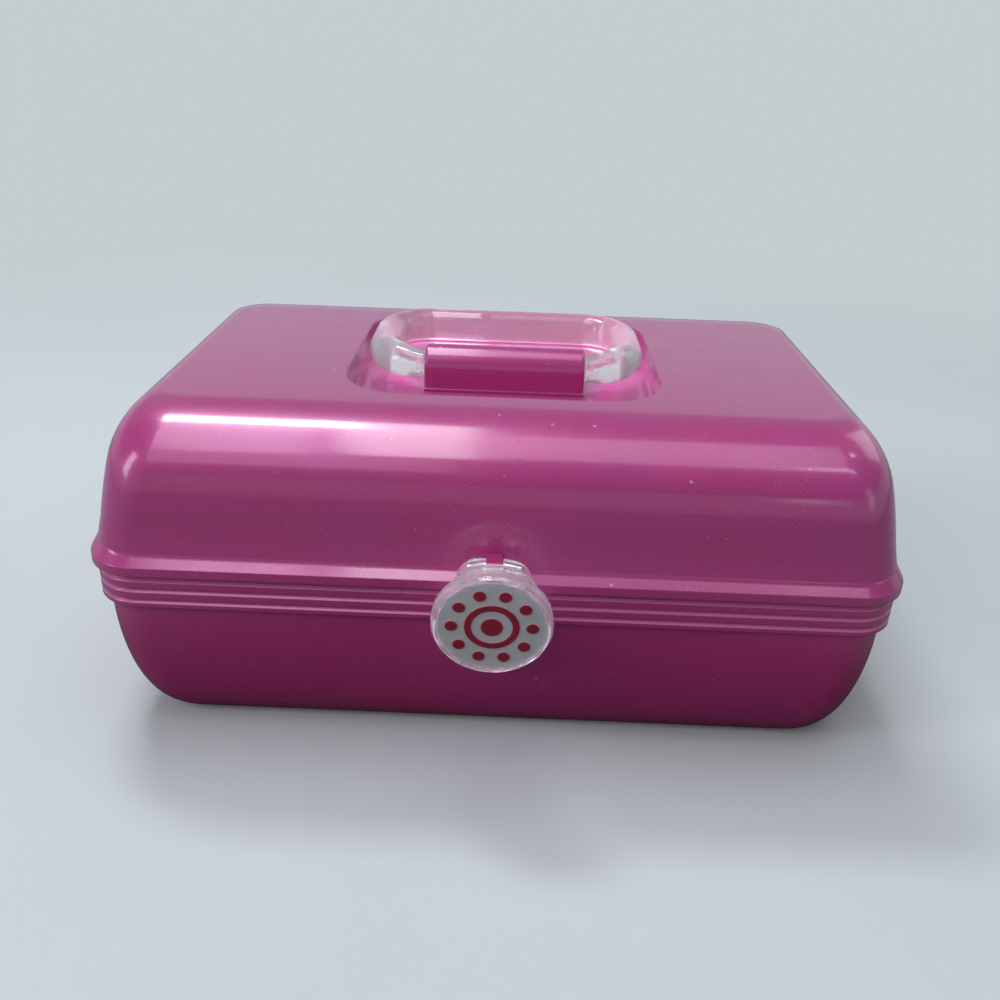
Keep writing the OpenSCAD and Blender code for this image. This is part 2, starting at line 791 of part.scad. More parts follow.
base_shell();
base_pivots();
hinge_pins();
lid_shell();
handle_barrel();
handle_loop();
latch_pin();
latch_body();
latch_badge();
latch_motif();
lid_pivots();
mirror_frame();
mirror_glass();
upper_tray();
upper_tray_pivots();
lower_tray();
lower_tray_pivots();
rear_arm_left();
rear_arm_right();
front_arm_left();
front_arm_right();
link_pivot_left();
link_pivot_right();
drag_link_left();
drag_link_right();
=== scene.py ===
"""The looks of a hard make-up case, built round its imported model: pearl plastic shells, a clear folding
handle, a round clear latch with a printed badge, and two trays that rise on arms inside.
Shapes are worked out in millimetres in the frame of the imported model, and become metres in add_piece()."""

import json
import math

import bmesh
import bpy
import numpy as np
from mathutils import Euler, Matrix, Vector


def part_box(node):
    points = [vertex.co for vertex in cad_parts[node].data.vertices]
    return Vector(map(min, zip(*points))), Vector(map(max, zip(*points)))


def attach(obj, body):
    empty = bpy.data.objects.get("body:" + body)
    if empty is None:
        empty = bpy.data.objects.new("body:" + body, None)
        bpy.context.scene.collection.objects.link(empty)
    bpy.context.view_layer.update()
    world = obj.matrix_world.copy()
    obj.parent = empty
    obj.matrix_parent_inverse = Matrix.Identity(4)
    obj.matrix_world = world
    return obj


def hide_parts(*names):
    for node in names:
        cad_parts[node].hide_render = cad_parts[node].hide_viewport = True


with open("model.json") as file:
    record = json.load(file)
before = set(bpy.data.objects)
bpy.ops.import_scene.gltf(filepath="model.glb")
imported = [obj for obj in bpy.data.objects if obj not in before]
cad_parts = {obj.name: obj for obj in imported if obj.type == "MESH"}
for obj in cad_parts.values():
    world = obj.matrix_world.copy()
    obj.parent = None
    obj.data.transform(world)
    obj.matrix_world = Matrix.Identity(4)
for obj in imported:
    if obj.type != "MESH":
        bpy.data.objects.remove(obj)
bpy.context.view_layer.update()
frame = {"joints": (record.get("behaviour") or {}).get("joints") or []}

# ---- Sizes ----

MM = 0.001


def joint_at(name):
    """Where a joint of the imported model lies, as [y, z] in millimetres."""
    found = next(j for j in frame["joints"] if j["name"] == name)
    return np.array(found["pos_m"][1:]) / MM


LID_AXIS = joint_at("lid_hinge")
HANDLE_AXIS = joint_at("handle_hinge")
LATCH_AXIS = joint_at("latch_hinge")
REAR_PIVOT = joint_at("rear_arm_right_pivot")
FRONT_PIVOT = joint_at("front_arm_right_pivot")
UPPER_REACH = joint_at("upper_tray_pivot") - REAR_PIVOT
LOWER_REACH = joint_at("lower_tray_pivot") - REAR_PIVOT
CRANK_REACH = joint_at("drag_link_right_pivot") - LID_AXIS

CASE_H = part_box("lid_shell")[1].z / MM
HALF_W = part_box("lid_shell")[1].x / MM
HALF_D = 117.0
PARTING_Z = LID_AXIS[1]
WALL = 2.4
CORNER_R = 22.0
RIM_GAP = 0.3

BEAD_OUT = 4.0
BEAD_H = 11.0
BEAD_FACE_H = 3.9
LEDGE_H = 2.4
LID_DRAFT = 3.5
LID_ROUND_H = 27.0
LID_ROUND_END = 15.0
LID_ROUND_FRONT = 39.0
CORNER_FADE = 8.0
EDGE_SOFT = 0.7
SWEEP_START = math.radians(18)

RIB_IN = 2.0
RIB_COUNT = 3
RIB_PITCH = 4.75
RIB_BAND = 1.8
RIB_BEVEL = 1.0
BEVEL_SPAN = (0.76, 0.94)
# The face tilt and the reach in from the sides of the rib bevels that get the painted highlight
HIGHLIGHT_TILT = (0.3, 0.95)
HIGHLIGHT_IN = 10.0
GROOVE_D = 1.5
BASE_IN = 4.5
BASE_ROUND_END = 16.0
BASE_ROUND_FRONT = 19.5
BASE_CORNER_IN = 2.0
LIP_H = 1.8
LIP_T = 1.3
LIP_GAP = 0.35
FOOT_H = 1.0
FOOT_W = 5.0
FOOT_IN = 8.0
FOOT_SLOPE = 0.3

RECESS_DEPTH = 11.0
RECESS_HALF_W = 69.0
RECESS_Y = (-60.0, 68.0)
RECESS_R = 28.0
FOOT_ROUND = (3.8, 4.5)
RECESS_LEAN = 1.4
RIM_R = 0.9

HANDLE_W = 115.0
HANDLE_L = 69.0
HANDLE_R = 8.0
HANDLE_END_R = 5.8
HANDLE_FRONT_R = 28.0
HANDLE_BACK_R = 20.0
HANDLE_TAPER = math.radians(34)
HANDLE_PIN_R = 3.5
BARREL_L = 72.0
BARREL_R = 9.6
FLANGE_W = 1.6
FLANGE_T = 1.2
SIDE_GAP = 0.4

LATCH_FACE = np.array([-HALF_D - 17.8, PARTING_Z - 4.9])
LATCH_TILT = math.radians(8)
LATCH_R = 23.0
LATCH_T = 7.0
LATCH_BOSS_D = 7.5
LATCH_BOSS_R = 19.0
BOSS_WALL = 2.2
LATCH_KNUCKLE_R = 3.6
LATCH_KNUCKLE_W = 31.0
LATCH_PIN_R = 1.25
LUG_SEEN_W = 6.0
LUG_SEEN_R = 2.4
HUMP_R = 17.6
POCKET_D = 2.0
POCKET_GAP = 0.15
CATCH_W = 18.0
HOOK_T = 2.8
HOOK_TIP = np.array([-HALF_D + BASE_IN - 1.6, PARTING_Z - RIM_GAP - RIB_BAND - RIB_PITCH * RIB_COUNT - SIDE_GAP])
BADGE_R = 20.6
BADGE_T = 1.2
BADGE_CROWN = 0.12
BADGE_EDGE = 0.5
PRINT_T = 0.3
DOT_COUNT = 10
DOT_R = 2.3
DOTS_AT = BADGE_R - 3.1 - DOT_R
PRINT_RING_R = DOTS_AT - DOT_R - 2.6
PRINT_RING_W = 2.5
PRINT_DISC_R = 4.1

KNUCKLE_R = 4.0
KNUCKLE_L = 16.0
HINGE_PIN_R = 1.5
HINGE_X = 90.0
WEB_T = 6.0

TRAY_H = 26.0
TRAY_D = 166.0
TRAY_WALL = 1.8
TRAY_END_WALL = 2.2
TRAY_R = 12.0
TRAY_DROP = 3.5
TRAY_GAP = 2.0
DIVIDER_T = 1.6
FRONT_CELL_D = 46.0
UPPER_CELLS = 4
LOWER_CELLS = 3

ARM_T = 2.5
ARM_R = 5.0
LINK_T = 2.0
LINK_R = 4.0
BOSS_L = 10.0
BOSS_R = 5.2
RIVET_R = 2.0
RIVET_HEAD_R = 3.4
RIVET_HEAD_T = 1.4
RIVET_RIM = 0.35

MIRROR_W = 196.0
MIRROR_D = 104.0
MIRROR_FRAME_T = 5.2
MIRROR_BORDER = 7.0
MIRROR_R = 10.0
GLASS_R = 6.0
GLASS_T = 2.0
GLASS_SET = 0.6

CORNER_STEPS = 20
ROUND_STEPS = 30
LATHE_STEPS = 96
DISC_STEPS = 128
PLATE_STEPS = 10
PIN_STEPS = 24

LID_WALL_Z = PARTING_Z + BEAD_H
LID_ROUND_Z = CASE_H - LID_ROUND_H
BASE_RIM_Z = PARTING_Z - RIM_GAP
RIB_TOP_Z = BASE_RIM_Z - RIB_BAND
RIB_END_Z = RIB_TOP_Z - RIB_PITCH * RIB_COUNT
WALL_TOP_Z = RIB_END_Z - GROOVE_D
RECESS_FLOOR = CASE_H - RECESS_DEPTH
RECESS_CY = sum(RECESS_Y) / 2
RECESS_HALF_D = (RECESS_Y[1] - RECESS_Y[0]) / 2

# The stack of tray arms beside each end wall, from the wall inwards
LIP_IN = BEAD_OUT + WALL + LIP_GAP
END_INNER = HALF_W - LIP_IN - LIP_T
BOSS_X = END_INNER - BOSS_L
ARM_X = BOSS_X - SIDE_GAP - ARM_T
INNER_HEAD_X = ARM_X - SIDE_GAP - RIVET_HEAD_T
TRAY_HALF_W = INNER_HEAD_X - SIDE_GAP
OUTER_HEAD_X = ARM_X + ARM_T + SIDE_GAP
LINK_X = OUTER_HEAD_X + RIVET_HEAD_T + SIDE_GAP
LID_BOSS_X = LINK_X + LINK_T + SIDE_GAP
TRAY_Y0 = -(HALF_D - BEAD_OUT - LID_DRAFT - WALL) + 5.0
TRAY_Y1 = TRAY_Y0 + TRAY_D
UPPER_Z = PARTING_Z - TRAY_DROP
LOWER_Z = UPPER_Z - TRAY_GAP - TRAY_H


# ---- Mesh tools ----


def rounded_ring(half_x, half_y, r, z, cy=0.0, steps=CORNER_STEPS):
    """Points round a rounded rectangle that lies level at height z."""
    rows = []
    for k, (sx, sy) in enumerate(((1, 1), (-1, 1), (-1, -1), (1, -1))):
        a = (k + np.linspace(0, 1, steps + 1)) * math.pi / 2
        x = sx * (half_x - r) + r * np.cos(a)
        y = cy + sy * (half_y - r) + r * np.sin(a)
        rows.append(np.column_stack((x, y, np.full_like(x, z))))
    return np.vstack(rows)


def rounded_corners(path, steps=6):
    """A path of (x, y, radius) corners, with an arc of that radius at each corner between two others."""
    out = []
    for i, (x, y, r) in enumerate(path):
        p = np.array((x, y), float)
        if i in (0, len(path) - 1) or r <= 0:
            out.append(p)
            continue
        before = np.array(path[i - 1][:2], float) - p
        after = np.array(path[i + 1][:2], float) - p
        lb, la = np.linalg.norm(before), np.linalg.norm(after)
        before, after = before / lb, after / la
        half = math.acos(max(-1.0, min(1.0, float(before @ after)))) / 2
        if half > math.radians(88):
            out.append(p)
            continue
        reach = min(r / math.tan(half), 0.49 * lb, 0.49 * la)
        r = reach * math.tan(half)
        middle = (before + after) / np.linalg.norm(before + after)
        centre = p + middle * r / math.sin(half)
        start, end = p + before * reach - centre, p + after * reach - centre
        turn = math.atan2(start[0] * end[1] - start[1] * end[0], float(start @ end))
        for t in np.linspace(0, turn, steps + 1):
            c, s = math.cos(t), math.sin(t)
            out.append(centre + np.array((c * start[0] - s * start[1], s * start[0] + c * start[1])))
    return out


class Shell:
    """Points in millimetres and faces, gathered for one mesh."""

    def __init__(self):
        self.points, self.faces = [], []

    def loft(self, rings, closed=False):
        """A skin over rings of as many points each, with a flat cap at either end, or closed on itself."""
        n, last = len(rings[0]), len(rings) - 1
        start = sum(len(p) for p in self.points)
        faces = []
        for k in range(len(rings) if closed else last):
            a, b = k * n, (k + 1) % len(rings) * n
            faces += [[a + i, a + (i + 1) % n, b + (i + 1) % n, b + i] for i in range(n)]
        if not closed:
            faces += [list(range(n))[::-1], [last * n + i for i in range(n)]]
        self.points.append(np.vstack(rings))
        self.faces += [[start + i for i in f] for f in faces]
        return self

    def lathe(self, outline, steps=LATHE_STEPS, place=None, closed=False):
        """A solid of revolution about Z from an outline of (radius, z), with flat ends or closed to a ring."""
        a = full_turn(steps)
        rings = [np.column_stack((r * np.cos(a), r * np.sin(a), np.full(steps, z))) for r, z in outline if r > 1e-6]
        if place is not None:
            rings = [moved(r, place) for r in rings]
        return self.loft(rings, closed=closed)

    def move(self, place):
        self.points = [moved(p, place) for p in self.points]
        return self


def moved(points, place):
    """Points turned and shifted by a 4x4 matrix in millimetres."""
    m = np.array(place, float)
    return np.asarray(points) @ m[:3, :3].T + m[:3, 3]


def new_object(name, data, weight=None):
    """An object in the scene, with even normals where a weight is given."""
    piece = bpy.data.objects.new(name, data)
    bpy.context.scene.collection.objects.link(piece)
    if weight:
        even = piece.modifiers.new("even_normals", "WEIGHTED_NORMAL")
        even.keep_sharp = True
        even.weight = weight
    return piece


def fill_mesh(data, work, sharp):
    """Smooth faces, with hard edges where they meet at a steep angle, put into a mesh."""
    for e in work.edges:
        e.smooth = len(e.link_faces) == 2 and e.calc_face_angle(0.0) < math.radians(sharp)
    for f in work.faces:
        f.smooth = True
    work.to_mesh(data)
    work.free()


def add_piece(name, shell, material, sharp=32.0, weight=60):
    """A smooth-shaded object in metres from a Shell."""
    data = bpy.data.meshes.new(name)
    data.from_pydata((np.vstack(shell.points) * MM).tolist(), [], shell.faces)
    data.materials.append(material)
    work = bmesh.new()
    work.from_mesh(data)
    bmesh.ops.remove_doubles(work, verts=work.verts, dist=1e-7)
    bmesh.ops.dissolve_degenerate(work, dist=1e-7, edges=work.edges)
    bmesh.ops.recalc_face_normals(work, faces=work.faces)
    fill_mesh(data, work, sharp)
    return new_object(name, data, weight)


def finish_piece(piece, body, slot, *nodes):
    """The piece rides on a body and stands for CAD nodes, which are hidden. The slot is not used."""
    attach(piece, body)
    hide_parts(*nodes)
    return piece


def placed(at, turn):
    """A place at a point, turned by three angles."""
    return Matrix.Translation(at) @ Euler(turn).to_matrix().to_4x4()


def along_x(x, y, z):
    """A place whose own Z points along +X."""
    return placed((x, y, z), (0, math.pi / 2, 0))


def quarter(count):
    """Even steps over a quarter turn, with both ends."""
    return np.linspace(0, math.pi / 2, count)


def full_turn(count):
    return np.linspace(0, 2 * math.pi, count, endpoint=False)


def bar_x(shell, x0, x1, r, at, soft=0.5, steps=48):
    """A round bar with softened ends along X at [y, z]."""
    x0, x1 = sorted((x0, x1))
    outline = rounded_corners([(0, 0, 0), (r, 0, soft), (r, x1 - x0, soft), (0, x1 - x0, 0)], 4)
    return shell.lathe(outline, steps, along_x(x0, *at))


def block(shell, low, high, soft=0.5):
    """A box with softened edges between two corners."""
    low, high = np.array(low, float), np.array(high, float)
    c, h = (low + high) / 2, (high - low) / 2
    soft = min(soft, 0.45 * h.min())
    rings = []
    for t in quarter(4):
        i, z = soft * (1 - math.sin(t)), low[2] + soft * (1 - math.cos(t))
        rings.append(rounded_ring(h[0] - i, h[1] - i, max(soft - i, 0.02), z, 0, 4))
    rings += [np.column_stack((r[:, :2], 2 * c[2] - r[:, 2])) for r in rings[::-1]]
    return shell.loft([r + np.array((c[0], c[1], 0)) for r in rings])


# ---- Materials ----


class Nodes:
    """Short calls for the nodes of one tree. An input takes a number, a colour or another node's output."""

    def __init__(self, tree, point=None, kind="Object"):
        self.tree = tree
        self.point = self.new("TexCoord").outputs[kind] if point is None else point

    def put(self, node, values):
        for key, v in values.items():
            socket = node.inputs[key]
            if isinstance(v, bpy.types.NodeSocket):
                self.tree.links.new(v, socket)
            else:
                socket.default_value = (*v[:3], 1.0) if socket.type == "RGBA" else v
        return node

    def new(self, kind):
        return self.tree.nodes.new("ShaderNode" + kind)

    def node(self, kind, values):
        return self.put(self.new(kind), values)

    def math(self, operation, a, b, clamp=False):
        n = self.node("Math", {0: a, 1: b})
        n.operation, n.use_clamp = operation, clamp
        return n.outputs[0]

    def times(self, a, b, clamp=False):
        return self.math("MULTIPLY", a, b, clamp)

    def plus(self, a, b, clamp=False):
        return self.math("ADD", a, b, clamp)

    def remap(self, value, low, high, to_low=0.0, to_high=1.0, kind="SMOOTHSTEP"):
        n = self.node("MapRange", {"Value": value, "From Min": low, "From Max": high, "To Min": to_low,
                                   "To Max": to_high})
        n.interpolation_type = kind
        return n.outputs["Result"]

    def mix(self, factor, a, b):
        """A mix of two colours. The node's colour sockets are inputs 6 and 7 and output 2."""
        n = self.new("Mix")
        n.data_type = "RGBA"
        return self.put(n, {0: factor, 6: a, 7: b}).outputs[2]

    def noise(self, scale, detail=2.0, roughness=0.5, point=None):
        values = {"Vector": self.point if point is None else point, "Scale": scale, "Detail": detail}
        return self.node("TexNoise", {**values, "Roughness": roughness}).outputs["Fac"]

    def stretched(self, scale, turn=(0, 0, 0)):
        return self.node("Mapping", {"Vector": self.point, "Scale": scale, "Rotation": turn}).outputs["Vector"]

    def cells(self, scale):
        """Distance and random channels of a cell pattern."""
        out = self.node("TexVoronoi", {"Vector": self.point, "Scale": scale}).outputs
        return out["Distance"], self.node("SeparateColor", {0: out["Color"]}).outputs

    def bump(self, height, strength, distance):
        return self.node("Bump", {"Height": height, "Strength": strength, "Distance": distance}).outputs["Normal"]

    def group(self, group, **values):
        n = self.new("Group")
        n.node_tree = group
        named = {label.replace("_", " "): v for label, v in values.items()}
        return self.put(n, {"Point": self.point, **named}).outputs

    def marks(self, scuffs, dust):
        """The masks of scuffs and of dust specks."""
        out = self.group(SCUFFS, Scuffs=scuffs, Dust=dust)
        return out["Scuff Mask"], out["Dust Mask"]

    def seen(self, path):
        """1 where the camera looks, straight or through clear plastic."""
        return self.math("MAXIMUM", path["Is Camera Ray"], self.math("MINIMUM", path["Transmission Depth"], 1.0))

    def surface(self, share, a, b):
        """The material's surface as a mix of two shaders."""
        both = self.node("MixShader", {0: share, 1: a.outputs[0], 2: b.outputs[0]})
        self.put(self.tree.nodes["Material Output"], {"Surface": both.outputs[0]})


def new_material(name):
    m = bpy.data.materials.new(name)
    m.use_nodes = True
    return m, Nodes(m.node_tree), m.node_tree.nodes["Principled BSDF"]


def new_group(name, inputs, outputs):
    """A shader node group with named sockets: a point, inputs with their values, and outputs."""
    g = bpy.data.node_groups.new(name, "ShaderNodeTree")

    def socket(label, way):
        kind = "Vector" if label == "Point" else "Color" if label.endswith("Color") else "Float"
        return g.interface.new_socket(label, in_out=way, socket_type="NodeSocket" + kind)

    socket("Point", "INPUT")
    for label, value in inputs.items():
        socket(label, "INPUT").default_value = value
    for label in outputs:
        socket(label, "OUTPUT")
    given = g.nodes.new("NodeGroupInput").outputs
    return Nodes(g, given["Point"]), given, g.nodes.new("NodeGroupOutput")


def flecks_group():
    """Pearl pigment: tiny pale platelets scattered through the plastic, with a soft cloudiness."""
    t, given, result = new_group(
        "pearl_flecks",
        {"Body Color": (0.5, 0.1, 0.3, 1), "Cloud Color": (0.6, 0.2, 0.5, 1), "Fleck Color": (1, 0.9, 1, 1),
         "Fleck Amount": 0.5, "Cells per Metre": 1500.0}, ("Color", "Height"))
    distance, chance = t.cells(given["Cells per Metre"])
    dot = t.remap(distance, 0.1, 0.32, 1.0, 0.0)
    area = t.remap(t.noise(34.0), 0.35, 0.7, 0.25, 1.0)
    flecks = t.times(t.times(dot, t.remap(chance[0], 0.8, 1.0)), area)
    amount = t.times(flecks, given["Fleck Amount"], True)
    body = t.mix(t.remap(t.noise(22.0, 3.0, 0.55), 0.3, 0.75), given["Body Color"], given["Cloud Color"])
    t.put(result, {"Color": t.mix(amount, body, given["Fleck Color"]),
                   "Height": t.plus(t.times(t.noise(900.0), 0.5), flecks)})
    return t.tree


def scuffs_group():
    """Fine rubbed lines that run two ways, in patches, and a scatter of dust specks."""
    t, given, result = new_group("scuffs_and_dust", {"Scuffs": 0.5, "Dust": 0.5}, ("Scuff Mask", "Dust Mask"))
    lines = []
    for scale, turn, patch in (((4, 60, 210), (0.5, 0.3, 0.6), 13.0), ((220, 9, 7), (0.1, -0.5, -0.7), 19.0)):
        fine = t.remap(t.noise(6.0, 1.0, point=t.stretched(scale, turn)), 0.62, 0.76)
        lines.append(t.times(fine, t.remap(t.noise(patch, 1.0), 0.56, 0.72)))
    distance, chance = t.cells(190.0)
    speck = t.math("LESS_THAN", distance, t.remap(chance[1], 0.86, 1.0, 0.0, 0.12, "LINEAR"))
    t.put(result, {"Scuff Mask": t.times(t.math("MAXIMUM", *lines), given["Scuffs"], True),
                   "Dust Mask": t.times(speck, given["Dust"], True)})
    return t.tree


FLECKS = flecks_group()
SCUFFS = scuffs_group()


def pearl_plastic(name, body, cloud, edge, fleck_amount=0.55, scuffs=0.12, dust=0.6):
    """Glossy injection-moulded plastic with pearl pigment: a painted lilac sheen at a glancing view, pale flecks,
    light scuffs.
    """
    m, t, shader = new_material(name)
    pearl = t.group(FLECKS, Body_Color=body, Cloud_Color=cloud, Fleck_Color=(0.95, 0.8, 0.95),
                    Fleck_Amount=fleck_amount)
    scuff, speck = t.marks(scuffs, dust)
    # Painted sheen: the base colour turns towards the edge colour where the surface is seen at a glancing angle
    facing = t.node("LayerWeight", {"Blend": 0.32}).outputs["Facing"]
    color = t.mix(t.remap(facing, 0.25, 1.0, 0.0, 0.75), pearl["Color"], edge)
    color = t.mix(t.times(scuff, 0.2), color, (0.85, 0.6, 0.8))
    rough = t.plus(t.remap(t.noise(60.0, 3.0), 0.3, 0.7, 0.27, 0.34), t.times(scuff, 0.25))
    t.put(shader, {
        "Base Color": t.mix(t.times(speck, 0.7), color, (0.8, 0.68, 0.76)),
        "Roughness": t.plus(rough, t.times(speck, 0.4), True), "Metallic": 0.12, "IOR": 1.46,
        "Specular Tint": (0.92, 0.84, 1.0), "Coat Weight": 1.0, "Coat Roughness": 0.12, "Coat IOR": 1.5,
        "Normal": t.bump(pearl["Height"], 0.25, 0.00003)})
    return m


def clear_acrylic(name, tint):
    """Clear cast acrylic that lets the lamps through, with faint waviness and a little dust."""
    m, t, shader = new_material(name)
    scuff, speck = t.marks(0.4, 0.25)
    wave = t.plus(t.noise(45.0, 1.0), t.times(speck, 0.05))
    t.put(shader, {"Base Color": t.mix(speck, tint, (0.8, 0.78, 0.8)),
                   "Roughness": t.plus(0.015, t.times(scuff, 0.12), True), "IOR": 1.49,
                   "Transmission Weight": 0.9, "Normal": t.bump(wave, 0.12, 0.0008)})
    through = t.node("BsdfTransparent", {"Color": [0.94 * c for c in tint]})
    t.surface(t.new("LightPath").outputs["Is Shadow Ray"], shader, through)
    return m


def printed(name, color, mottle):
    """Printed plastic under a thin clear lacquer."""
    m, t, shader = new_material(name)
    scuff, speck = t.marks(0.5, 0.5)
    base = t.mix(t.remap(t.noise(110.0, 3.0), 0.3, 0.7), color, mottle)
    t.put(shader, {"Base Color": t.mix(speck, base, (0.5, 0.45, 0.45)),
                   "Roughness": t.plus(0.34, t.times(scuff, 0.2), True), "Coat Weight": 0.5,
                   "Coat Roughness": 0.06, "Normal": t.bump(t.noise(500.0), 0.1, 0.00005)})
    return m


def satin_plastic(name, color, cloud):
    """Satin moulded plastic with a fine spark-eroded texture."""
    m, t, shader = new_material(name)
    scuff, speck = t.marks(0.6, 0.35)
    base = t.mix(t.remap(t.noise(26.0, 3.0), 0.3, 0.7), color, cloud)
    rough = t.remap(t.noise(80.0), 0.3, 0.7, 0.36, 0.46)
    t.put(shader, {"Base Color": t.mix(speck, base, (0.6, 0.5, 0.55)),
                   "Roughness": t.plus(rough, t.times(scuff, 0.15), True), "Subsurface Weight": 0.12,
                   "Subsurface Radius": (0.004, 0.003, 0.003), "Normal": t.bump(t.noise(2200.0), 0.25, 0.00008)})
    return m


def zinc_steel(name):
    """Bright zinc-plated steel with fine rolling lines and dull patches."""
    m, t, shader = new_material(name)
    grain = t.noise(1600.0, point=t.stretched((1, 0.06, 1)))
    patch = t.remap(t.noise(70.0, 3.0), 0.35, 0.7)
    t.put(shader, {"Base Color": t.mix(patch, (0.62, 0.63, 0.65), (0.75, 0.75, 0.74)), "Metallic": 1.0,
                   "Roughness": t.plus(t.remap(patch, 0, 1, 0.22, 0.36), t.times(grain, 0.1)),
                   "Normal": t.bump(grain, 0.2, 0.00004)})
    return m


def silvered_glass(name):
    """Mirror glass with a few faint wipe marks."""
    m, t, shader = new_material(name)
    speck = t.marks(0.6, 0.5)[1]
    smear = t.remap(t.noise(14.0, 3.0, point=t.stretched((1, 5, 1), (0, 0, 0.5))), 0.55, 0.8, 0.02, 0.1)
    t.put(shader, {"Base Color": t.mix(speck, (0.88, 0.9, 0.9), (0.6, 0.6, 0.6)), "Metallic": 1.0,
                   "Roughness": t.plus(smear, t.times(speck, 0.4), True)})
    return m


PEARL = pearl_plastic("pearl_pink", (0.47, 0.035, 0.20), (0.44, 0.042, 0.22), (0.48, 0.07, 0.30))
# A paler pearl put on the rib bevels as a painted highlight
PAINTED_HIGHLIGHT = pearl_plastic("pearl_painted_highlight", (0.68, 0.17, 0.40), (0.66, 0.17, 0.40), (0.76, 0.32, 0.60), 0.3, 0.0, 0.3)
CLEAR = clear_acrylic("clear_acrylic", (0.985, 0.975, 0.985))
WHITE_PRINT = printed("badge_white", (0.62, 0.65, 0.67), (0.56, 0.59, 0.62))
RED_PRINT = printed("badge_red", (0.36, 0.02, 0.05), (0.30, 0.015, 0.045))
PALE_PRINT = printed("badge_outline", (0.70, 0.42, 0.44), (0.66, 0.38, 0.42))
TRAY_PLASTIC = satin_plastic("tray_plastic", (0.80, 0.66, 0.76), (0.76, 0.62, 0.74))
STEEL = zinc_steel("zinc_steel")
MIRROR = silvered_glass("mirror_glass")


# ---- Shells ----


def bead_ring(inset, z):
    return rounded_ring(HALF_W - inset, HALF_D - inset, CORNER_R - min(inset, CORNER_R / 3), z)


def blended_ring(at_end, in_front):
    """A ring with one (inset, z) at both ends and another along the front and back, blended at the corners."""
    a = (np.arange(4)[:, None] + np.linspace(0, 1, CORNER_STEPS + 1)).ravel() * math.pi / 2
    share = (np.sin(a) ** 2)[:, None]
    return bead_ring(*at_end) * (1 - share) + bead_ring(*in_front) * share


def lid_round_size(t, skin):
    """Half sizes, corner radius and height of the lid's outline at angle t of its rounding."""
    c = 1 - math.cos(t)
    inset = BEAD_OUT + LID_DRAFT + skin
    return np.array([HALF_W - inset - (LID_ROUND_END - skin) * c, HALF_D - inset - (LID_ROUND_FRONT - skin) * c,
                     CORNER_R - skin / 2 - CORNER_FADE * c, LID_ROUND_Z + (LID_ROUND_H - skin) * math.sin(t)])


def lid_wall_rings(skin, foot):
    """The lid's wall and rounding as one smooth sweep from the bead, where foot gives its sizes, to the flat top."""
    step = 0.01
    end = lid_round_size(SWEEP_START, skin)
    end_way = (lid_round_size(SWEEP_START + step, skin) - end) / step
    rise = end[3] - foot[3]
    end_way *= rise / end_way[3]
    foot_way = np.array([-0.12 * rise, -0.12 * rise, end[2] - foot[2], rise])
    rings = []
    for t in np.linspace(0, 1, 9)[:-1]:
        h = (2 * t**3 - 3 * t**2 + 1, t**3 - 2 * t**2 + t, 3 * t**2 - 2 * t**3, t**3 - t**2)
        rings.append(h[0] * foot + h[1] * foot_way + h[2] * end + h[3] * end_way)
    rings += [lid_round_size(t, skin) for t in np.linspace(SWEEP_START, math.pi / 2, ROUND_STEPS)]
    return [rounded_ring(*r) for r in rings]


def recess_ring(inset, up, skin=0.0):
    return rounded_ring(RECESS_HALF_W - inset + skin, RECESS_HALF_D - inset + skin, RECESS_R - inset + skin,
                        RECESS_FLOOR + up, RECESS_CY)


def dish_outline():
    """The recess from its floor to its rim, as (inset, height above the floor)."""
    foot = [(EDGE_SOFT + RECESS_LEAN + FOOT_ROUND[0] * (1 - math.sin(t)), FOOT_ROUND[1] * (1 - math.cos(t)))
            for t in quarter(13)]
    rim = [(RIM_R * math.cos(t) - RIM_R / 2, RECESS_DEPTH - RIM_R + RIM_R * math.sin(t)) for t in quarter(6)]
    return foot, rim


def lid_rings():
    """Rings over the whole lid, from the recess's underside round the rim to the recess's floor."""
    foot, rim = dish_outline()
    under = [recess_ring(i, up - WALL, WALL) for i, up in foot] + [recess_ring(EDGE_SOFT, RECESS_DEPTH - WALL, WALL)]
    inner = BEAD_OUT + WALL
    inner_foot = np.array([HALF_W, HALF_D, CORNER_R, LID_WALL_Z]) - np.array([inner, inner, inner, 0])
    inside = lid_wall_rings(WALL, inner_foot)[::-1]
    start = [(inner, LID_WALL_Z, 0), (inner, PARTING_Z, 0.4), (0, PARTING_Z, 0.5)]
    face_z = PARTING_Z + BEAD_FACE_H
    at_ends = rounded_corners(start + [(0, face_z + 0.3, 0.9), (BEAD_OUT - 0.5, LID_WALL_Z - 0.9, 3.2),
                                       (BEAD_OUT + 0.25, LID_WALL_Z + LEDGE_H, 0)], 7)
    in_front = rounded_corners(start + [(0, face_z, 0.45), (BEAD_OUT + 0.3, face_z + 3.2, 2.8),
                                        (BEAD_OUT + 1.3, LID_WALL_Z + LEDGE_H, 0)], 7)
    edge = [blended_ring(a, b) for a, b in list(zip(at_ends, in_front))[1:]]
    (x, z), (y, _) = at_ends[-1], in_front[-1]
    outer_foot = np.array([HALF_W - x, HALF_D - y, CORNER_R - x, z])
    outside = lid_wall_rings(0.0, outer_foot)[1:]
    dish = [recess_ring(i, up) for i, up in rim[::-1]] + [recess_ring(i, up) for i, up in foot[::-1]]
    return under + inside + edge + outside + dish


def knuckle(shell, x, z0, z1):
    """One hinge knuckle with the web that carries it."""
    bar_x(shell, x - KNUCKLE_L / 2, x + KNUCKLE_L / 2, KNUCKLE_R, LID_AXIS, 0.5)
    block(shell, (x - KNUCKLE_L / 2 + 0.1, HALF_D - BEAD_OUT, z0), (x + KNUCKLE_L / 2 - 0.1, LID_AXIS[0], z1), 0.6)


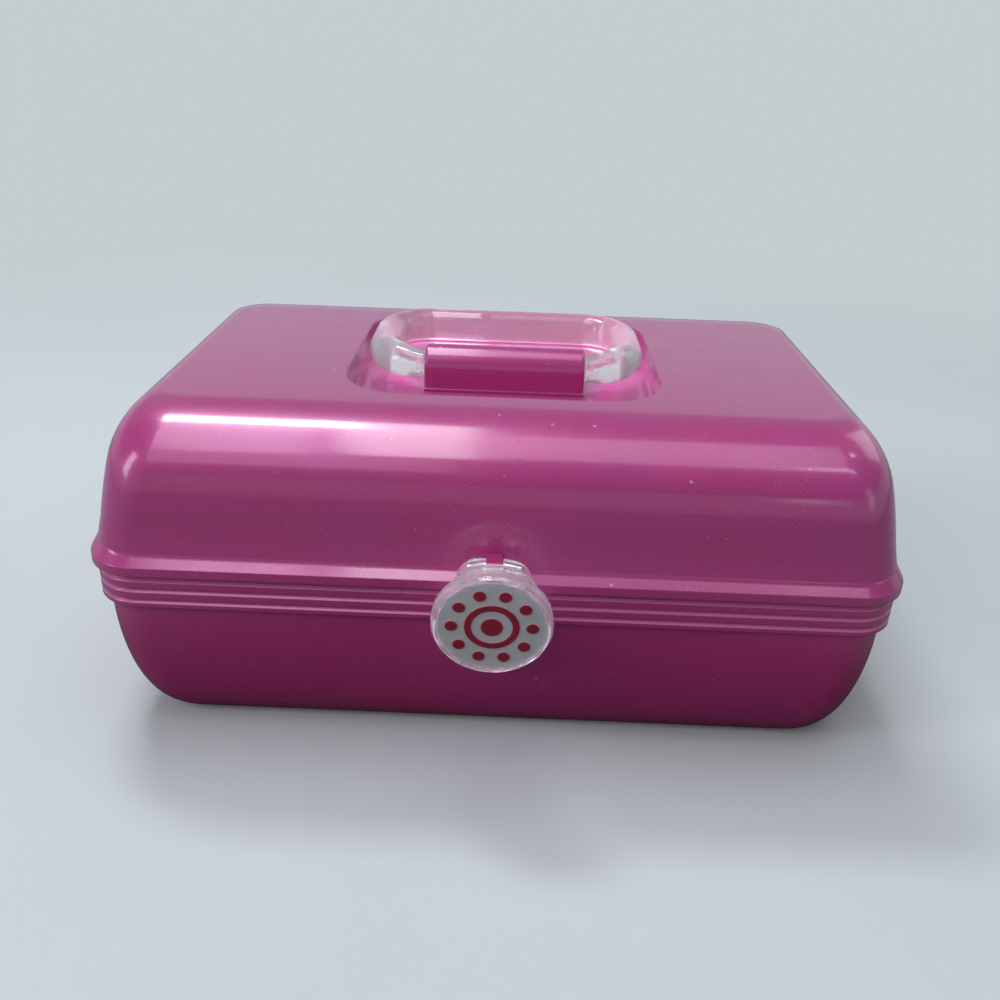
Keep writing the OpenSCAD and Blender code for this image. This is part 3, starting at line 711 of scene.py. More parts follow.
def make_lid():
    """The lid with its hinge knuckles, the bosses of the links and the latch's lug."""
    shell = Shell().loft(lid_rings())
    for x in (-HINGE_X, HINGE_X):
        knuckle(shell, x, PARTING_Z, PARTING_Z + WEB_T)
    for s in (-1, 1):
        bar_x(shell, s * LID_BOSS_X, s * (HALF_W - BEAD_OUT - WALL + 0.6), BOSS_R, LID_AXIS + CRANK_REACH, 0.4)
    w, web = LUG_SEEN_W / 2, LUG_SEEN_R - 1.0
    bar_x(shell, -w, w, LUG_SEEN_R, LATCH_AXIS, 0.3)
    block(shell, (-w, LATCH_AXIS[0], LATCH_AXIS[1] - web), (w, -HALF_D + BEAD_OUT + 1, LATCH_AXIS[1] + web), 0.4)
    return finish_piece(add_piece("lid", shell, PEARL), "lid", "pearl_pink", "lid_shell")


def base_wall_ring(t, skin, bottom):
    c, s = 1 - math.cos(t), 1 - math.sin(t)
    return rounded_ring(HALF_W - BASE_IN - skin - (BASE_ROUND_END - skin) * c,
                        HALF_D - BASE_IN - skin - (BASE_ROUND_FRONT - skin) * c,
                        CORNER_R - BASE_CORNER_IN - skin / 2, bottom + (WALL_TOP_Z - bottom) * s)


def foot_ring(inset, z):
    return rounded_ring(HALF_W - BASE_IN - BASE_ROUND_END - inset, HALF_D - BASE_IN - BASE_ROUND_FRONT - inset,
                        CORNER_R - inset / 2, z)


def rib_outline():
    """The ribs from the lowest to the rim, as (inset, z) with rounded crests and grooves."""
    path = [(BASE_IN, WALL_TOP_Z, 0)]
    for k in range(RIB_COUNT - 1, -1, -1):
        z = RIB_TOP_Z - RIB_PITCH * (k + 1)
        deep, low, full = (BASE_IN, 0.2, 0.36) if k == RIB_COUNT - 1 else (RIB_IN + GROOVE_D, 0.03, 0.14)
        path += [(deep, z + low * RIB_PITCH, 0.4), (RIB_IN, z + full * RIB_PITCH, 0.45),
                 (RIB_IN, z + BEVEL_SPAN[0] * RIB_PITCH, 0.5),
                 (RIB_IN + RIB_BEVEL, z + BEVEL_SPAN[1] * RIB_PITCH, 0.25)]
    return rounded_corners(path + [(RIB_IN + RIB_BEVEL, BASE_RIM_Z, 0), (LIP_IN, BASE_RIM_Z, 0)], 5)


def make_base():
    """The base with its ribs, whose upward rib bevels take a paler pearl as a painted highlight."""
    inside = [base_wall_ring(t, WALL, FOOT_H + WALL) for t in np.linspace(math.pi / 2, 0, ROUND_STEPS)]
    lip = rounded_corners([(LIP_IN + LIP_T, RIB_END_Z, 0), (LIP_IN + LIP_T, BASE_RIM_Z + LIP_H, 0.45),
                           (LIP_IN, BASE_RIM_Z + LIP_H, 0.45), (LIP_IN, BASE_RIM_Z, 0.2),
                           (RIB_IN + RIB_BEVEL, BASE_RIM_Z, 0)], 4)
    ribs = rib_outline()[::-1][1:]
    wall = [base_wall_ring(t, 0, FOOT_H) for t in quarter(ROUND_STEPS)]
    foot = rounded_corners([(FOOT_IN, FOOT_H, 0), (FOOT_IN + FOOT_SLOPE, 0, 0.5),
                            (FOOT_IN + FOOT_W - FOOT_SLOPE, 0, 0.5), (FOOT_IN + FOOT_W, FOOT_H, 0)], 4)
    rings = inside + [bead_ring(i, z) for i, z in lip[:-1] + ribs] + wall + [foot_ring(i, z) for i, z in foot]
    shell = Shell().loft(rings)
    step = KNUCKLE_L + SIDE_GAP
    for s in (-1, 1):
        for e in (-1, 1):
            knuckle(shell, s * HINGE_X + e * step, BASE_RIM_Z - WEB_T, BASE_RIM_Z)
        for p in (REAR_PIVOT, FRONT_PIVOT):
            bar_x(shell, s * BOSS_X, s * (END_INNER + 0.9), BOSS_R, p, 0.4)
    block(shell, (-CATCH_W / 2, -HALF_D + RIB_IN - 0.5, RIB_END_Z),
          (CATCH_W / 2, -HALF_D + BASE_IN + 1, RIB_END_Z + RIB_PITCH))
    piece = add_piece("base", shell, PEARL)
    piece.data.materials.append(PAINTED_HIGHLIGHT)
    # Rib bevels that face up take the paler pearl: a painted highlight along each rib
    for f in piece.data.polygons:
        x, y, z = f.center / MM
        outside = abs(x) > HALF_W - HIGHLIGHT_IN or abs(y) > HALF_D - HIGHLIGHT_IN
        if outside and RIB_END_Z < z < RIB_TOP_Z and HIGHLIGHT_TILT[0] < f.normal.z < HIGHLIGHT_TILT[1]:
            f.material_index = 1
    return finish_piece(piece, "base", "pearl_pink", "base_shell")


# ---- Handle ----


def make_barrel():
    """The cover over the handle's hinge: a loaf-shaped bar with rounded ends on a thin flange."""
    soft = 1.7
    height = HANDLE_AXIS[1] - RECESS_FLOOR
    half = BARREL_L / 2
    a = np.linspace(0, math.pi, 49)
    rings = []
    ends = [(-half + soft * (1 - math.cos(t)), soft * (1 - math.sin(t))) for t in quarter(7)]
    for x, inset in ends + [(-x, i) for x, i in ends[::-1]]:
        r = BARREL_R - inset
        y = np.concatenate(([r], r * np.cos(a), [-r])) + HANDLE_AXIS[0]
        z = np.concatenate(([0], height + r * np.sin(a), [0])) + RECESS_FLOOR
        rings.append(np.column_stack((np.full_like(y, x), y, z)))
    shell = Shell().loft(rings)
    y, w = HANDLE_AXIS[0], BARREL_R + FLANGE_W
    block(shell, (-half, y - w, RECESS_FLOOR), (half, y + w, RECESS_FLOOR + FLANGE_T), 0.55)
    return finish_piece(add_piece("handle_cover", shell, PEARL), "lid", "pearl_pink", "handle_barrel")


def make_handle():
    """The clear bar: slimmer ends on the barrel's faces, wide front bends and the grip."""
    end_x = BARREL_L / 2 + SIDE_GAP
    centre_x = HANDLE_W / 2 - HANDLE_FRONT_R
    first = math.asin((end_x - centre_x) / HANDLE_FRONT_R)
    front_y = HANDLE_FRONT_R * math.cos(first)
    a = full_turn(48)

    def tube_ring(x, y, r, t):
        across = np.array((math.sin(t), -math.cos(t), 0))
        ring = np.outer(r * np.cos(a), across) + np.outer(r * np.sin(a), (0, 0, 1))
        return ring + np.array((x, HANDLE_AXIS[0] + y, HANDLE_AXIS[1]))

    pin = [(0.95 * SIDE_GAP, HANDLE_PIN_R - 0.1), (0.85 * SIDE_GAP, HANDLE_PIN_R), (0, HANDLE_PIN_R)]
    rings = [tube_ring(end_x - x, 0, r, 0) for x, r in pin]
    soft = 0.6
    rings += [tube_ring(end_x + soft * (1 - math.cos(t)), 0, HANDLE_END_R - soft * (1 - math.sin(t)), 0)
              for t in quarter(5)]
    for t in np.linspace(first + math.radians(8), math.pi / 2, 18):
        share = min(1.0, (t - first) / HANDLE_TAPER)
        r = HANDLE_END_R + (HANDLE_R - HANDLE_END_R) * share * share * (3 - 2 * share)
        x, y = centre_x + HANDLE_FRONT_R * math.sin(t), front_y - HANDLE_FRONT_R * math.cos(t)
        rings.append(tube_ring(x, y, r, t))
    for t in quarter(18):
        rings.append(tube_ring(HANDLE_W / 2 - HANDLE_BACK_R * (1 - math.cos(t)),
                               HANDLE_L - HANDLE_BACK_R * (1 - math.sin(t)), HANDLE_R, math.pi / 2 + t))
    shell = Shell().loft(rings + [r * np.array((-1, 1, 1)) for r in rings[::-1]])
    return finish_piece(add_piece("handle", shell, CLEAR, 50), "handle", "clear_handle", "handle_loop")


# ---- Latch ----


LATCH_PLACE = placed((0, *LATCH_FACE), (math.pi / 2 + LATCH_TILT, 0, 0))


def on_face(p):
    """A place given as [y, z] in the case, as [up, out] on the latch's face."""
    d = np.asarray(p) - LATCH_FACE
    c, s = math.cos(LATCH_TILT), math.sin(LATCH_TILT)
    return np.array([-d[0] * s + d[1] * c, -d[0] * c - d[1] * s])


def make_real(piece, used):
    """The piece's modifiers made into its mesh, and the object that they used removed."""
    bpy.context.view_layer.update()
    made = bpy.data.meshes.new_from_object(piece.evaluated_get(bpy.context.evaluated_depsgraph_get()))
    piece.modifiers.clear()
    piece.data = made
    bpy.data.objects.remove(used)
    return piece


def combine(piece, operation, other):
    """A clear piece joined with, cut by or kept within another one, which may be a Shell."""
    if isinstance(other, Shell):
        other = add_piece("other", other, CLEAR)
    cut = piece.modifiers.new("cut", "BOOLEAN")
    cut.operation = operation
    cut.object = other
    cut.solver = "EXACT"
    return make_real(piece, other)


def make_latch():
    """The clear latch: a disc with a pocket for the badge, a hollow boss behind, an arched knuckle and a hook."""
    back = -LATCH_T - LATCH_BOSS_D
    pocket_r, inner_r = BADGE_R + POCKET_GAP, LATCH_BOSS_R - BOSS_WALL
    outline = rounded_corners([
        (0, -POCKET_D, 0), (pocket_r, -POCKET_D, 0.25), (pocket_r, 0, 0.35), (LATCH_R - 0.9, 0, 0.8),
        (LATCH_R, -1.7, 1.4), (LATCH_R, 1.6 - LATCH_T, 1.2), (LATCH_R - 1.6, -LATCH_T, 0.8),
        (LATCH_BOSS_R, -LATCH_T, 0.6), (LATCH_BOSS_R, back, 0.6), (inner_r, back, 0.6), (inner_r, -LATCH_T, 0.8),
        (0, -LATCH_T, 0)], 5)
    body = add_piece("latch", Shell().lathe(outline, DISC_STEPS, LATCH_PLACE), CLEAR, weight=None)
    up, out = on_face(LATCH_AXIS)
    half, r = LATCH_KNUCKLE_W / 2, LATCH_KNUCKLE_R
    root = -LATCH_T + 0.6
    hump = add_piece("hump", bar_x(Shell(), -half, half, r, LATCH_AXIS, 0.5, 64), CLEAR, weight=None)
    web = block(Shell(), (-half, up - r + 0.4, out), (half, up + r - 0.4, root), 0.7)
    combine(hump, "UNION", web.move(LATCH_PLACE))
    arch = rounded_corners([(0, out - 2 * r, 0), (HUMP_R, out - 2 * r, 1.0), (HUMP_R, out + r, 3.0),
                            (HUMP_R - 0.8, -LATCH_T + 1, 0), (0, -LATCH_T + 1, 0)], 8)
    over = LATCH_PLACE @ Matrix.Translation((0, up + r - HUMP_R, 0))
    combine(hump, "INTERSECT", Shell().lathe(arch, DISC_STEPS, over))
    combine(body, "UNION", hump)
    side, room = LUG_SEEN_W / 2 + 0.2, LUG_SEEN_R - 0.3
    slot = block(Shell(), (-side, up - room - 0.3, out - 4 * r), (side, up + 4 * r, out + room - 0.3), 0.3)
    combine(body, "DIFFERENCE", slot.move(LATCH_PLACE))
    combine(body, "DIFFERENCE", bar_x(Shell(), -side, side, LUG_SEEN_R + 0.3, LATCH_AXIS, 0.2))
    tip_up, tip_out = on_face(HOOK_TIP)
    wide = CATCH_W / 2 - 1
    hook = block(Shell(), (-wide, tip_up - HOOK_T, tip_out), (wide, tip_up, root), 0.6)
    combine(body, "UNION", hook.move(LATCH_PLACE))
    work = bmesh.new()
    work.from_mesh(body.data)
    fill_mesh(body.data, work, 35)
    return finish_piece(body, "latch", "clear_latch", "latch_body")


def make_badge():
    """The white disc in the latch's pocket, slightly crowned, with a rounded edge."""
    z = -POCKET_D + SIDE_GAP / 4
    top, flat = z + BADGE_T - BADGE_CROWN, BADGE_R - BADGE_EDGE
    crown = [(r, z + BADGE_T + BADGE_CROWN * (1 - (r / BADGE_R) ** 2) - BADGE_CROWN)
             for r in np.linspace(0.4, flat, 12)]
    edge = rounded_corners([(flat, top, 0), (BADGE_R, top, 0.3), (BADGE_R, z, 0.2), (0, z, 0)], 4)
    shell = Shell().lathe([*crown[:-1], *edge], DISC_STEPS, LATCH_PLACE)
    return finish_piece(add_piece("badge", shell, WHITE_PRINT), "latch", "badge_white", "latch_badge")


def flat_disc(shell, r0, r1, z0, z1, steps):
    """A thin printed disc, or a ring where r0 is above 0, with a softened upper edge."""
    soft = 0.3 * (z1 - z0)
    rim = [(r1, z0), (r1, z1 - soft), (r1 - soft, z1)]
    if r0 <= 0:
        return shell.lathe(rim, steps)
    return shell.lathe([(r0, z0), *rim, (r0 + soft, z1), (r0, z1 - soft)], steps, closed=True)


def repeat_on_points(name, places, prototype, material):
    """Copies of a prototype at (position, turn) places in metres, made by Geometry Nodes and baked to a mesh."""
    carrier = bpy.data.meshes.new(name + "_places")
    carrier.from_pydata([p for p, _ in places], [], [])
    turn = carrier.attributes.new("turn", "FLOAT_VECTOR", "POINT")
    turn.data.foreach_set("vector", np.array([t for _, t in places], np.float32).ravel())
    piece = new_object(name, carrier)
    nodes = piece.modifiers.new("repeat", "NODES")
    nodes.node_group = repeat_tree()
    ids = {i.name: i.identifier for i in nodes.node_group.interface.items_tree if i.in_out == "INPUT"}
    nodes[ids["Prototype"]] = prototype
    nodes[ids["Scale"]] = 1.0
    nodes[ids["Finish"]] = material
    return make_real(piece, prototype)


def repeat_tree():
    """The Geometry Nodes tree that sets a prototype on each point, turned as the point says."""
    known = bpy.data.node_groups.get("repeat_on_points")
    if known:
        return known
    tree = bpy.data.node_groups.new("repeat_on_points", "GeometryNodeTree")
    tree.is_modifier = True
    for label, kind in (("Places", "Geometry"), ("Prototype", "Object"), ("Scale", "Float"), ("Finish", "Material")):
        tree.interface.new_socket(label, in_out="INPUT", socket_type="NodeSocket" + kind)
    tree.interface.new_socket("Copies", in_out="OUTPUT", socket_type="NodeSocketGeometry")
    given, result = tree.nodes.new("NodeGroupInput"), tree.nodes.new("NodeGroupOutput")
    info, turn, spread, real, paint = [tree.nodes.new("GeometryNode" + kind) for kind in (
        "ObjectInfo", "InputNamedAttribute", "InstanceOnPoints", "RealizeInstances", "SetMaterial")]
    turn.data_type = "FLOAT_VECTOR"
    turn.inputs["Name"].default_value = "turn"
    for start, output, end, into in (
            (given, "Prototype", info, "Object"), (given, "Places", spread, "Points"),
            (info, "Geometry", spread, "Instance"), (turn, "Attribute", spread, "Rotation"),
            (given, "Scale", spread, "Scale"), (spread, "Instances", real, "Geometry"),
            (real, "Geometry", paint, "Geometry"), (given, "Finish", paint, "Material"),
            (paint, "Geometry", result, "Copies")):
        tree.links.new(start.outputs[output], end.inputs[into])
    return tree


def make_print():
    """The badge's print: a disc, a ring and a circle of dots, in red over a slightly wider pale outline."""
    z = -POCKET_D + SIDE_GAP / 4 + BADGE_T
    places = []
    for a in np.arange(DOT_COUNT) * 2 * math.pi / DOT_COUNT:
        at = LATCH_PLACE @ Vector((DOTS_AT * math.cos(a), DOTS_AT * math.sin(a), 0))
        places.append((tuple(at * MM), (math.pi / 2 + LATCH_TILT, 0, 0)))
    data = bpy.data.meshes.new("badge_print")
    work = bmesh.new()
    for grow, low, high, material in ((0.35, -0.12, 0.1, PALE_PRINT), (0.0, 0.0, PRINT_T, RED_PRINT)):
        low, high = z + low, z + high
        rings = flat_disc(Shell(), 0, PRINT_DISC_R + grow, low, high, 96)
        flat_disc(rings, PRINT_RING_R - PRINT_RING_W - grow, PRINT_RING_R + grow, low, high, DISC_STEPS)
        dot = add_piece("dot", flat_disc(Shell(), 0, DOT_R + grow, low, high, 40), material, weight=None)
        for layer in (add_piece("rings", rings.move(LATCH_PLACE), material),
                      repeat_on_points("dots", places, dot, material)):
            faces = layer.data.polygons
            faces.foreach_set("material_index", [len(data.materials)] * len(faces))
            work.from_mesh(layer.data)
            bpy.data.objects.remove(layer)
        data.materials.append(material)
    work.to_mesh(data)
    work.free()
    return finish_piece(new_object("badge_print", data, 50), "latch", "badge_red", "latch_motif")


def make_latch_pin():
    half = LATCH_KNUCKLE_W / 3
    pin = bar_x(Shell(), -half, half, LATCH_PIN_R, LATCH_AXIS, 0.3, PIN_STEPS)
    return finish_piece(add_piece("latch_axle", pin, STEEL), "lid", "steel", "latch_pin")


# ---- Trays ----


def cell_row(count, y0, y1):
    """Equal cells in a row across a tray, as (x0, x1, y0, y1)."""
    inner = 2 * (TRAY_HALF_W - TRAY_END_WALL)
    w = (inner - (count - 1) * DIVIDER_T) / count
    starts = [-inner / 2 + i * (w + DIVIDER_T) for i in range(count)]
    return [(x, x + w, y0, y1) for x in starts]


def make_tray(name, body, z0, cells):
    """A moulded tray: rounded outside, cells with rounded floors, and a flat rim with soft edges."""
    top = z0 + TRAY_H
    cy = (TRAY_Y0 + TRAY_Y1) / 2
    soft = 0.35
    steps = 10
    work = bmesh.new()

    def skin(outline, hx, hy, r, cx, y):
        rings = []
        for inset, z in outline:
            ring = rounded_ring(hx - inset, hy - inset, max(r - inset, 0.5), z, y, steps)
            rings.append([work.verts.new(Vector((p[0] + cx, p[1], p[2])) * MM) for p in ring])
        n = len(rings[0])
        for a, b in zip(rings, rings[1:]):
            for i in range(n):
                work.faces.new((a[i], a[(i + 1) % n], b[(i + 1) % n], b[i]))
        work.faces.new(rings[0])
        return [work.edges.get((rings[-1][i], rings[-1][(i + 1) % n])) for i in range(n)]

    outside = rounded_corners([(TRAY_R - 1, z0, 0), (0, z0, 1.4), (0, top, soft), (soft + 0.1, top, 0)], 5)
    rim = skin(outside, TRAY_HALF_W, TRAY_D / 2, TRAY_R, 0, cy)
    floor = z0 + TRAY_WALL
    inside = rounded_corners([(6, floor, 0), (0, floor, 3.0), (0, top, soft), (-soft - 0.1, top, 0)], 6)
    for x0, x1, y0, y1 in cells:
        rim += skin(inside, (x1 - x0) / 2, (y1 - y0) / 2, TRAY_R - TRAY_WALL, (x0 + x1) / 2, (y0 + y1) / 2)
    bmesh.ops.triangle_fill(work, use_beauty=True, use_dissolve=False, edges=rim)
    data = bpy.data.meshes.new(name)
    bmesh.ops.recalc_face_normals(work, faces=work.faces)
    fill_mesh(data, work, 40)
    data.materials.append(TRAY_PLASTIC)
    return finish_piece(new_object(name, data, 50), body, "tray_plastic", name.replace("_moulding", ""))


def make_trays():
    y0, y1 = TRAY_Y0 + TRAY_WALL, TRAY_Y1 - TRAY_WALL
    split = y0 + FRONT_CELL_D
    upper = cell_row(1, y0, split) + cell_row(UPPER_CELLS, split + DIVIDER_T, y1)
    make_tray("upper_tray_moulding", "upper_tray", UPPER_Z, upper)
    make_tray("lower_tray_moulding", "lower_tray", LOWER_Z, cell_row(LOWER_CELLS, y0, y1))


# ---- Arms, links and rivets ----


def hull_outline(circles, r, steps=48):
    """The outline round several circles of radius r, as points in the Y-Z plane."""
    a = full_turn(steps)
    points = np.vstack([np.column_stack((c[0] + r * np.cos(a), c[1] + r * np.sin(a))) for c in circles])
    points = points[np.lexsort((points[:, 1], points[:, 0]))]

    def half(rows):
        line = []
        for p in rows:
            while len(line) > 1:
                u, v = line[-1] - line[-2], p - line[-2]
                if u[0] * v[1] - u[1] * v[0] > 1e-9:
                    break
                line.pop()
            line.append(p)
        return line[:-1]

    return np.array(half(points) + half(points[::-1]))


def make_plate(name, body, side, x0, t, pivots, r):
    """A flat steel bar round its pivots, with softened edges. Its body and its node have the same name."""
    soft = 0.35
    rings = []
    for inset, x in rounded_corners([(r * 0.5, x0, 0), (0, x0, soft), (0, x0 + t, soft), (r * 0.5, x0 + t, 0)], 3):
        ring = hull_outline(pivots, r - inset)
        rings.append(np.column_stack((np.full(len(ring), side * x), ring)))
    # Rounding can leave a ring with a point more than the others, and such a ring is left out
    n = min(len(x) for x in rings)
    rings = [x for x in rings if len(x) == n]
    return finish_piece(add_piece(name, Shell().loft(rings), STEEL), body, "steel", body)


def make_arms():
    """The tray arms and the links from the lid, which are alike on both sides."""
    crank = REAR_PIVOT + CRANK_REACH
    rear = [REAR_PIVOT, REAR_PIVOT + LOWER_REACH, REAR_PIVOT + UPPER_REACH, crank]
    front = [FRONT_PIVOT, FRONT_PIVOT + LOWER_REACH, FRONT_PIVOT + UPPER_REACH]
    plates = (("rear_bar", "rear_arm", ARM_X, ARM_T, rear, ARM_R),
              ("front_bar", "front_arm", ARM_X, ARM_T, front, ARM_R),
              ("link_bar", "drag_link", LINK_X, LINK_T, [crank, LID_AXIS + CRANK_REACH], LINK_R))
    for label, side in (("left", -1), ("right", 1)):
        for name, node, *plate in plates:
            make_plate(f"{name}_{label}", f"{node}_{label}", side, *plate)


def rivet_prototype(length, heads):
    """A rivet along +X from 0 to length. Heads are (x of the seat, +1 or -1 for the way that it bulges)."""
    shell = bar_x(Shell(), 0, length, RIVET_R, (0, 0), 0.25, PIN_STEPS)
    dome = [(RIVET_HEAD_R * math.cos(t), RIVET_RIM + (RIVET_HEAD_T - RIVET_RIM) * math.sin(t))
            for t in np.linspace(0.15, math.pi / 2 - 0.12, 6)]
    for x, way in heads:
        place = along_x(x, 0, 0)
        if way < 0:
            place = place @ placed((0, 0, 0), (math.pi, 0, 0))
        shell.lathe([(RIVET_HEAD_R, 0), (RIVET_HEAD_R, RIVET_RIM), *dome], 28, place)
    return add_piece("rivet", shell, STEEL, weight=None)


def make_rivets(name, body, x0, x1, heads, pivots, nodes, sides=(-1, 1)):
    """Equal rivets along X from x0 to x1 at each pivot, on the given sides of the case."""
    prototype = rivet_prototype(x1 - x0, [(x - x0, way) for x, way in heads])
    places = [(tuple(np.array((s * x0, *p)) * MM), (0, 0, 0 if s > 0 else math.pi)) for s in sides for p in pivots]
    piece = repeat_on_points(name, places, prototype, STEEL)
    for f in piece.data.polygons:
        f.use_smooth = True
    return finish_piece(piece, body, "steel", nodes)


def make_all_rivets():
    """The rivets on the base, the lid, the trays and the links."""
    pivots = [REAR_PIVOT, FRONT_PIVOT]
    head, inner, lid_head = RIVET_HEAD_T, TRAY_HALF_W - TRAY_END_WALL, LINK_X - SIDE_GAP
    make_rivets("base_rivets", "base", INNER_HEAD_X, END_INNER - 2, [(INNER_HEAD_X + head, -1)], pivots,
                "base_pivots")
    make_rivets("lid_rivets", "lid", lid_head - head, HALF_W - BEAD_OUT - WALL - 1, [(lid_head, -1)],
                [LID_AXIS + CRANK_REACH], "lid_pivots")
    for label, reach in (("upper", UPPER_REACH), ("lower", LOWER_REACH)):
        make_rivets(f"{label}_tray_rivets", f"{label}_tray", inner - head, OUTER_HEAD_X + head,
                    [(inner, -1), (OUTER_HEAD_X, 1)], [p + reach for p in pivots], f"{label}_tray_pivots")
    for label, side in (("left", -1), ("right", 1)):
        make_rivets(f"link_rivet_{label}", f"rear_arm_{label}", INNER_HEAD_X, LID_BOSS_X + head,
                    [(INNER_HEAD_X + head, -1), (LID_BOSS_X, 1)], [REAR_PIVOT + CRANK_REACH],
                    f"link_pivot_{label}", (side,))


def make_hinge_pins():
    reach = 1.5 * KNUCKLE_L + SIDE_GAP
    shell = Shell()
    for x in (-HINGE_X, HINGE_X):
        bar_x(shell, x - reach, x + reach, HINGE_PIN_R, LID_AXIS, 0.4, PIN_STEPS)
    return finish_piece(add_piece("hinge_axles", shell, STEEL), "base", "steel", "hinge_pins")


# ---- Mirror ----


def make_pane(name, w, d, r, outline, material, slot, node, sharp=32.0):
    """A rounded plate under the lid, from an outline of (inset, z)."""
    rings = [rounded_ring(w / 2 - i, d / 2 - i, max(r - i, 0.4), z, 0, PLATE_STEPS) for i, z in outline]
    finish_piece(add_piece(name, Shell().loft(rings), material, sharp), "lid", slot, node)


def make_mirror():
    """The mirror's frame and its bevelled glass."""
    z = RECESS_FLOOR - WALL - MIRROR_FRAME_T
    b, pocket = MIRROR_BORDER, GLASS_SET + GLASS_T + SIDE_GAP / 2
    outline = rounded_corners([(MIRROR_R - 1, z + MIRROR_FRAME_T, 0), (0, z + MIRROR_FRAME_T, 0.6), (0, z, 1.6),
                               (b, z, 0.5), (b, z + pocket, 0)], 5)
    make_pane("mirror_surround", MIRROR_W, MIRROR_D, MIRROR_R, outline, PEARL, "pearl_pink", "mirror_frame")
    g = z + GLASS_SET
    w, d = MIRROR_W - 2 * b - SIDE_GAP, MIRROR_D - 2 * b - SIDE_GAP
    outline = [(0.1, g + GLASS_T), (0, g + GLASS_T - 0.1), (0, g + 0.7), (2.4, g)]
    make_pane("mirror_pane", w, d, GLASS_R, outline, MIRROR, "mirror_glass", "mirror_glass", 8)


# ---- Stage, light and camera ----


FLOOR_HALF = 6.0
FLOOR_DROP = 0.0002
WALL_COLOR = (0.55, 0.61, 0.63)
WHITE_LIGHT = (0.90, 0.97, 1.0)
VIOLET_LIGHT = (0.84, 0.84, 1.0)

# Each lamp's way from the case, distance and size in metres, brightness, colour, and whether it shows in gloss
# and lights matt faces
LAMPS = (
    ("main_lamp", (-0.30, 0.40, 0.87), 2.5, (0.60, 0.38), 25.0, WHITE_LIGHT, True, True),
    ("lamp_trail", (-0.12, 0.085, 0.97), 2.5, (0.40, 2.25), 6.6, WHITE_LIGHT, True, True),
    ("lamp_side", (-0.32, -0.03, 0.94), 2.5, (0.45, 1.75), 4.0, VIOLET_LIGHT, True, False),
    ("left_ceiling", (-0.26, -0.52, 0.80), 2.5, (1.0, 0.9), 1.4, VIOLET_LIGHT, True, False),
    ("ceiling", (0.18, 0.02, 1.0), 2.4, (1.0, 1.5), 1.5, WHITE_LIGHT, True, True),
    ("right_ceiling", (0.42, -0.21, 0.88), 2.5, (0.50, 0.20), 4.2, WHITE_LIGHT, True, False),
    ("left_window", (-0.80, -0.38, 0.42), 2.5, (0.5, 1.4), 5.0, (0.9, 0.88, 1.0), True, True),
    ("right_lamp", (0.50, 0.20, 0.82), 2.5, (0.16, 0.16), 8.0, WHITE_LIGHT, True, True),
    ("back_window", (0.68, 0.51, 0.53), 2.5, (1.1, 0.9), 1.3, WHITE_LIGHT, True, False),
    ("right_window", (0.82, -0.45, 0.35), 2.5, (0.5, 1.1), 0.9, (1.0, 0.88, 0.88), True, True),
    ("corner_window", (0.33, -0.90, 0.31), 2.5, (0.10, 0.16), 3.0, WHITE_LIGHT, True, True),
    ("front_fill", (-0.42, -0.68, 0.60), 2.8, (2.2, 1.4), 1.9, (1.0, 0.95, 1.0), False, True),
)

# The photograph's view
FOCAL_PIXELS = 963
PHOTO_PIXELS = 1000
SENSOR = 36
CAMERA_AT = (5.1, -435.8, 268.4)
CAMERA_YAW, CAMERA_PITCH, CAMERA_ROLL = math.radians(-0.7), math.radians(25.49), math.radians(1.98)


def make_stage():
    """A pale floor. It fades into the room's colour away from the case, and throws little light back up. In
    reflections it has a painted shadow near the case and painted light further out.
    """
    data = bpy.data.meshes.new("floor")
    corners = [(x * FLOOR_HALF, y * FLOOR_HALF, 0) for x, y in ((-1, -1), (1, -1), (1, 1), (-1, 1))]
    data.from_pydata(corners, [], [(0, 1, 2, 3)])
    floor = new_object("floor", data)
    floor.location.z = -FLOOR_DROP
    m, t, shader = new_material("pale_floor")
    path = t.new("LightPath").outputs
    seen = t.seen(path)
    pale = t.mix(t.remap(t.noise(3.0, 3.0), 0.3, 0.7), (0.60, 0.63, 0.645), (0.63, 0.66, 0.675))
    length = t.node("VectorMath", {0: t.point})
    length.operation = "LENGTH"
    far = length.outputs["Value"]
    # Painted shadow and light for glossy rays: dark near the case, brighter and lilac further out
    lit = t.times(t.remap(far, 0.2, 0.34), path["Is Glossy Ray"])
    dark = t.mix(lit, (0.07, 0.05, 0.045), (0.36, 0.31, 0.37))
    t.put(shader, {"Base Color": t.mix(seen, dark, pale), "Roughness": 0.7, "Specular IOR Level": 0.2})
    t.surface(t.times(t.remap(far, 0.3, 1.1), seen), shader, t.node("Emission", {"Color": WALL_COLOR}))
    data.materials.append(m)


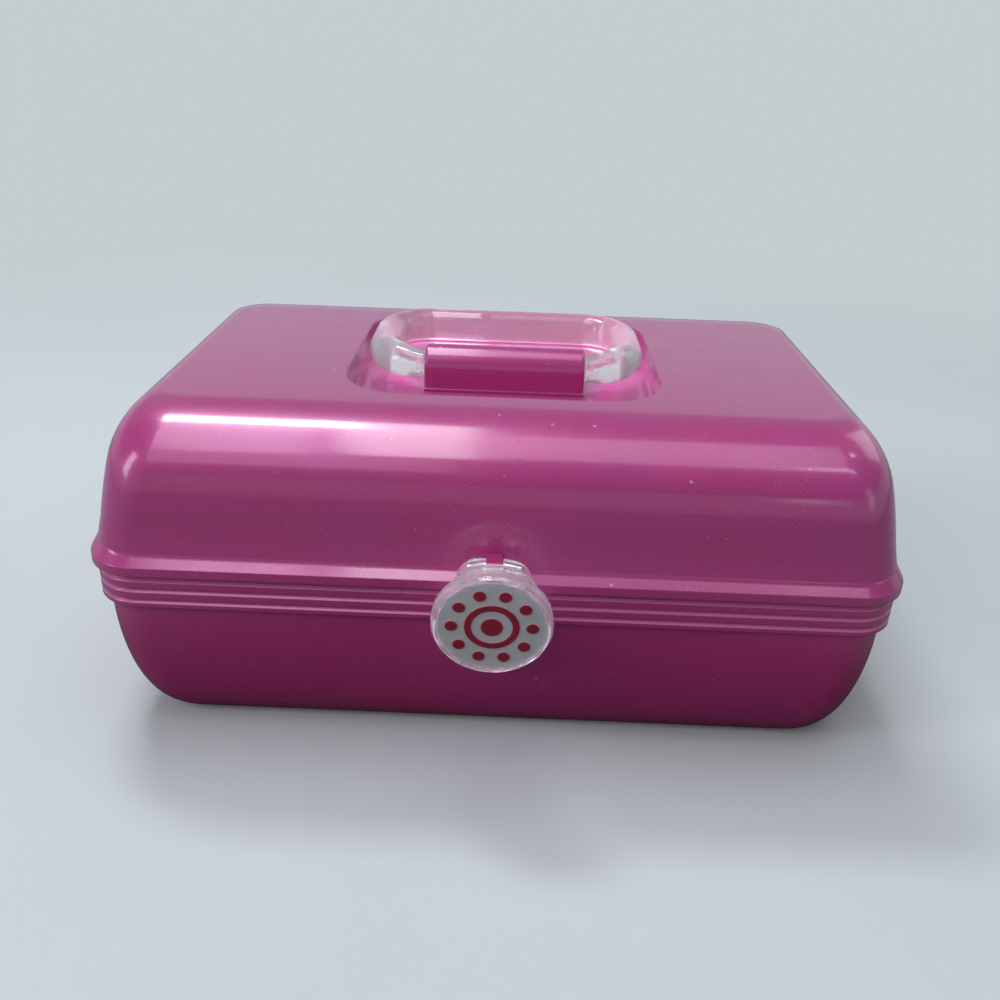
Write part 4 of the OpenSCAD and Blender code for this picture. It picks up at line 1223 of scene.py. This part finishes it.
def make_world():
    """A pale room: what shows and what gloss reflects is brighter than its light, and its ceiling is dim."""
    world = bpy.data.worlds.new("room")
    world.use_nodes = True
    t = Nodes(world.node_tree, kind="Generated")
    path = t.new("LightPath").outputs
    wall = t.remap(t.node("SeparateXYZ", {0: t.point}).outputs["Z"], 0.30, 0.46, 0.86, 0.25)
    gloss = t.times(wall, path["Is Glossy Ray"])
    strength = t.math("MAXIMUM", t.math("MAXIMUM", t.seen(path), gloss), 0.38)
    t.put(world.node_tree.nodes["Background"], {"Color": WALL_COLOR, "Strength": strength})
    bpy.context.scene.world = world


def far_light(name, way, distance, size, radiance, color, gloss, diffuse):
    """A soft panel in the given direction from the case, set by how bright its face looks."""
    way = Vector(way).normalized()
    across = Vector((1, 0, 0)) - way * way.x if way.z > 0.75 else Vector((-way.y, way.x, 0))
    across.normalize()
    lamp = bpy.data.lights.new(name, "AREA")
    lamp.shape = "RECTANGLE"
    lamp.size, lamp.size_y = size
    lamp.energy = radiance * size[0] * size[1] * math.pi
    lamp.color = color
    o = new_object(name, lamp)
    o.matrix_world = Matrix.Translation(Vector((0, 0, 0.1)) + way * distance) @ Matrix(
        (across, way.cross(across), way)).transposed().to_4x4()
    o.visible_glossy = gloss
    o.visible_diffuse = diffuse


def make_camera():
    """The photograph's view, with a focal length in pixels of its square frame."""
    forward = Vector((math.sin(CAMERA_YAW) * math.cos(CAMERA_PITCH), math.cos(CAMERA_YAW) * math.cos(CAMERA_PITCH),
                      -math.sin(CAMERA_PITCH)))
    right = Vector((math.cos(CAMERA_YAW), -math.sin(CAMERA_YAW), 0))
    up = right.cross(forward)
    c, s = math.cos(CAMERA_ROLL), math.sin(CAMERA_ROLL)
    cam = bpy.data.cameras.new("camera")
    cam.lens = FOCAL_PIXELS / PHOTO_PIXELS * SENSOR
    cam.sensor_width = SENSOR
    o = new_object("camera", cam)
    turn = Matrix((right * c + up * s, -right * s + up * c, -forward)).transposed().to_4x4()
    o.matrix_world = Matrix.Translation(Vector(CAMERA_AT) * MM) @ turn
    bpy.context.scene.camera = o


for make in (make_camera, make_lid, make_base, make_barrel, make_handle, make_latch, make_badge, make_print,
             make_latch_pin, make_trays, make_arms, make_all_rivets, make_hinge_pins, make_mirror, make_stage,
             make_world):
    make()
for lamp in LAMPS:
    far_light(*lamp)
bpy.context.scene.view_settings.view_transform = "Standard"
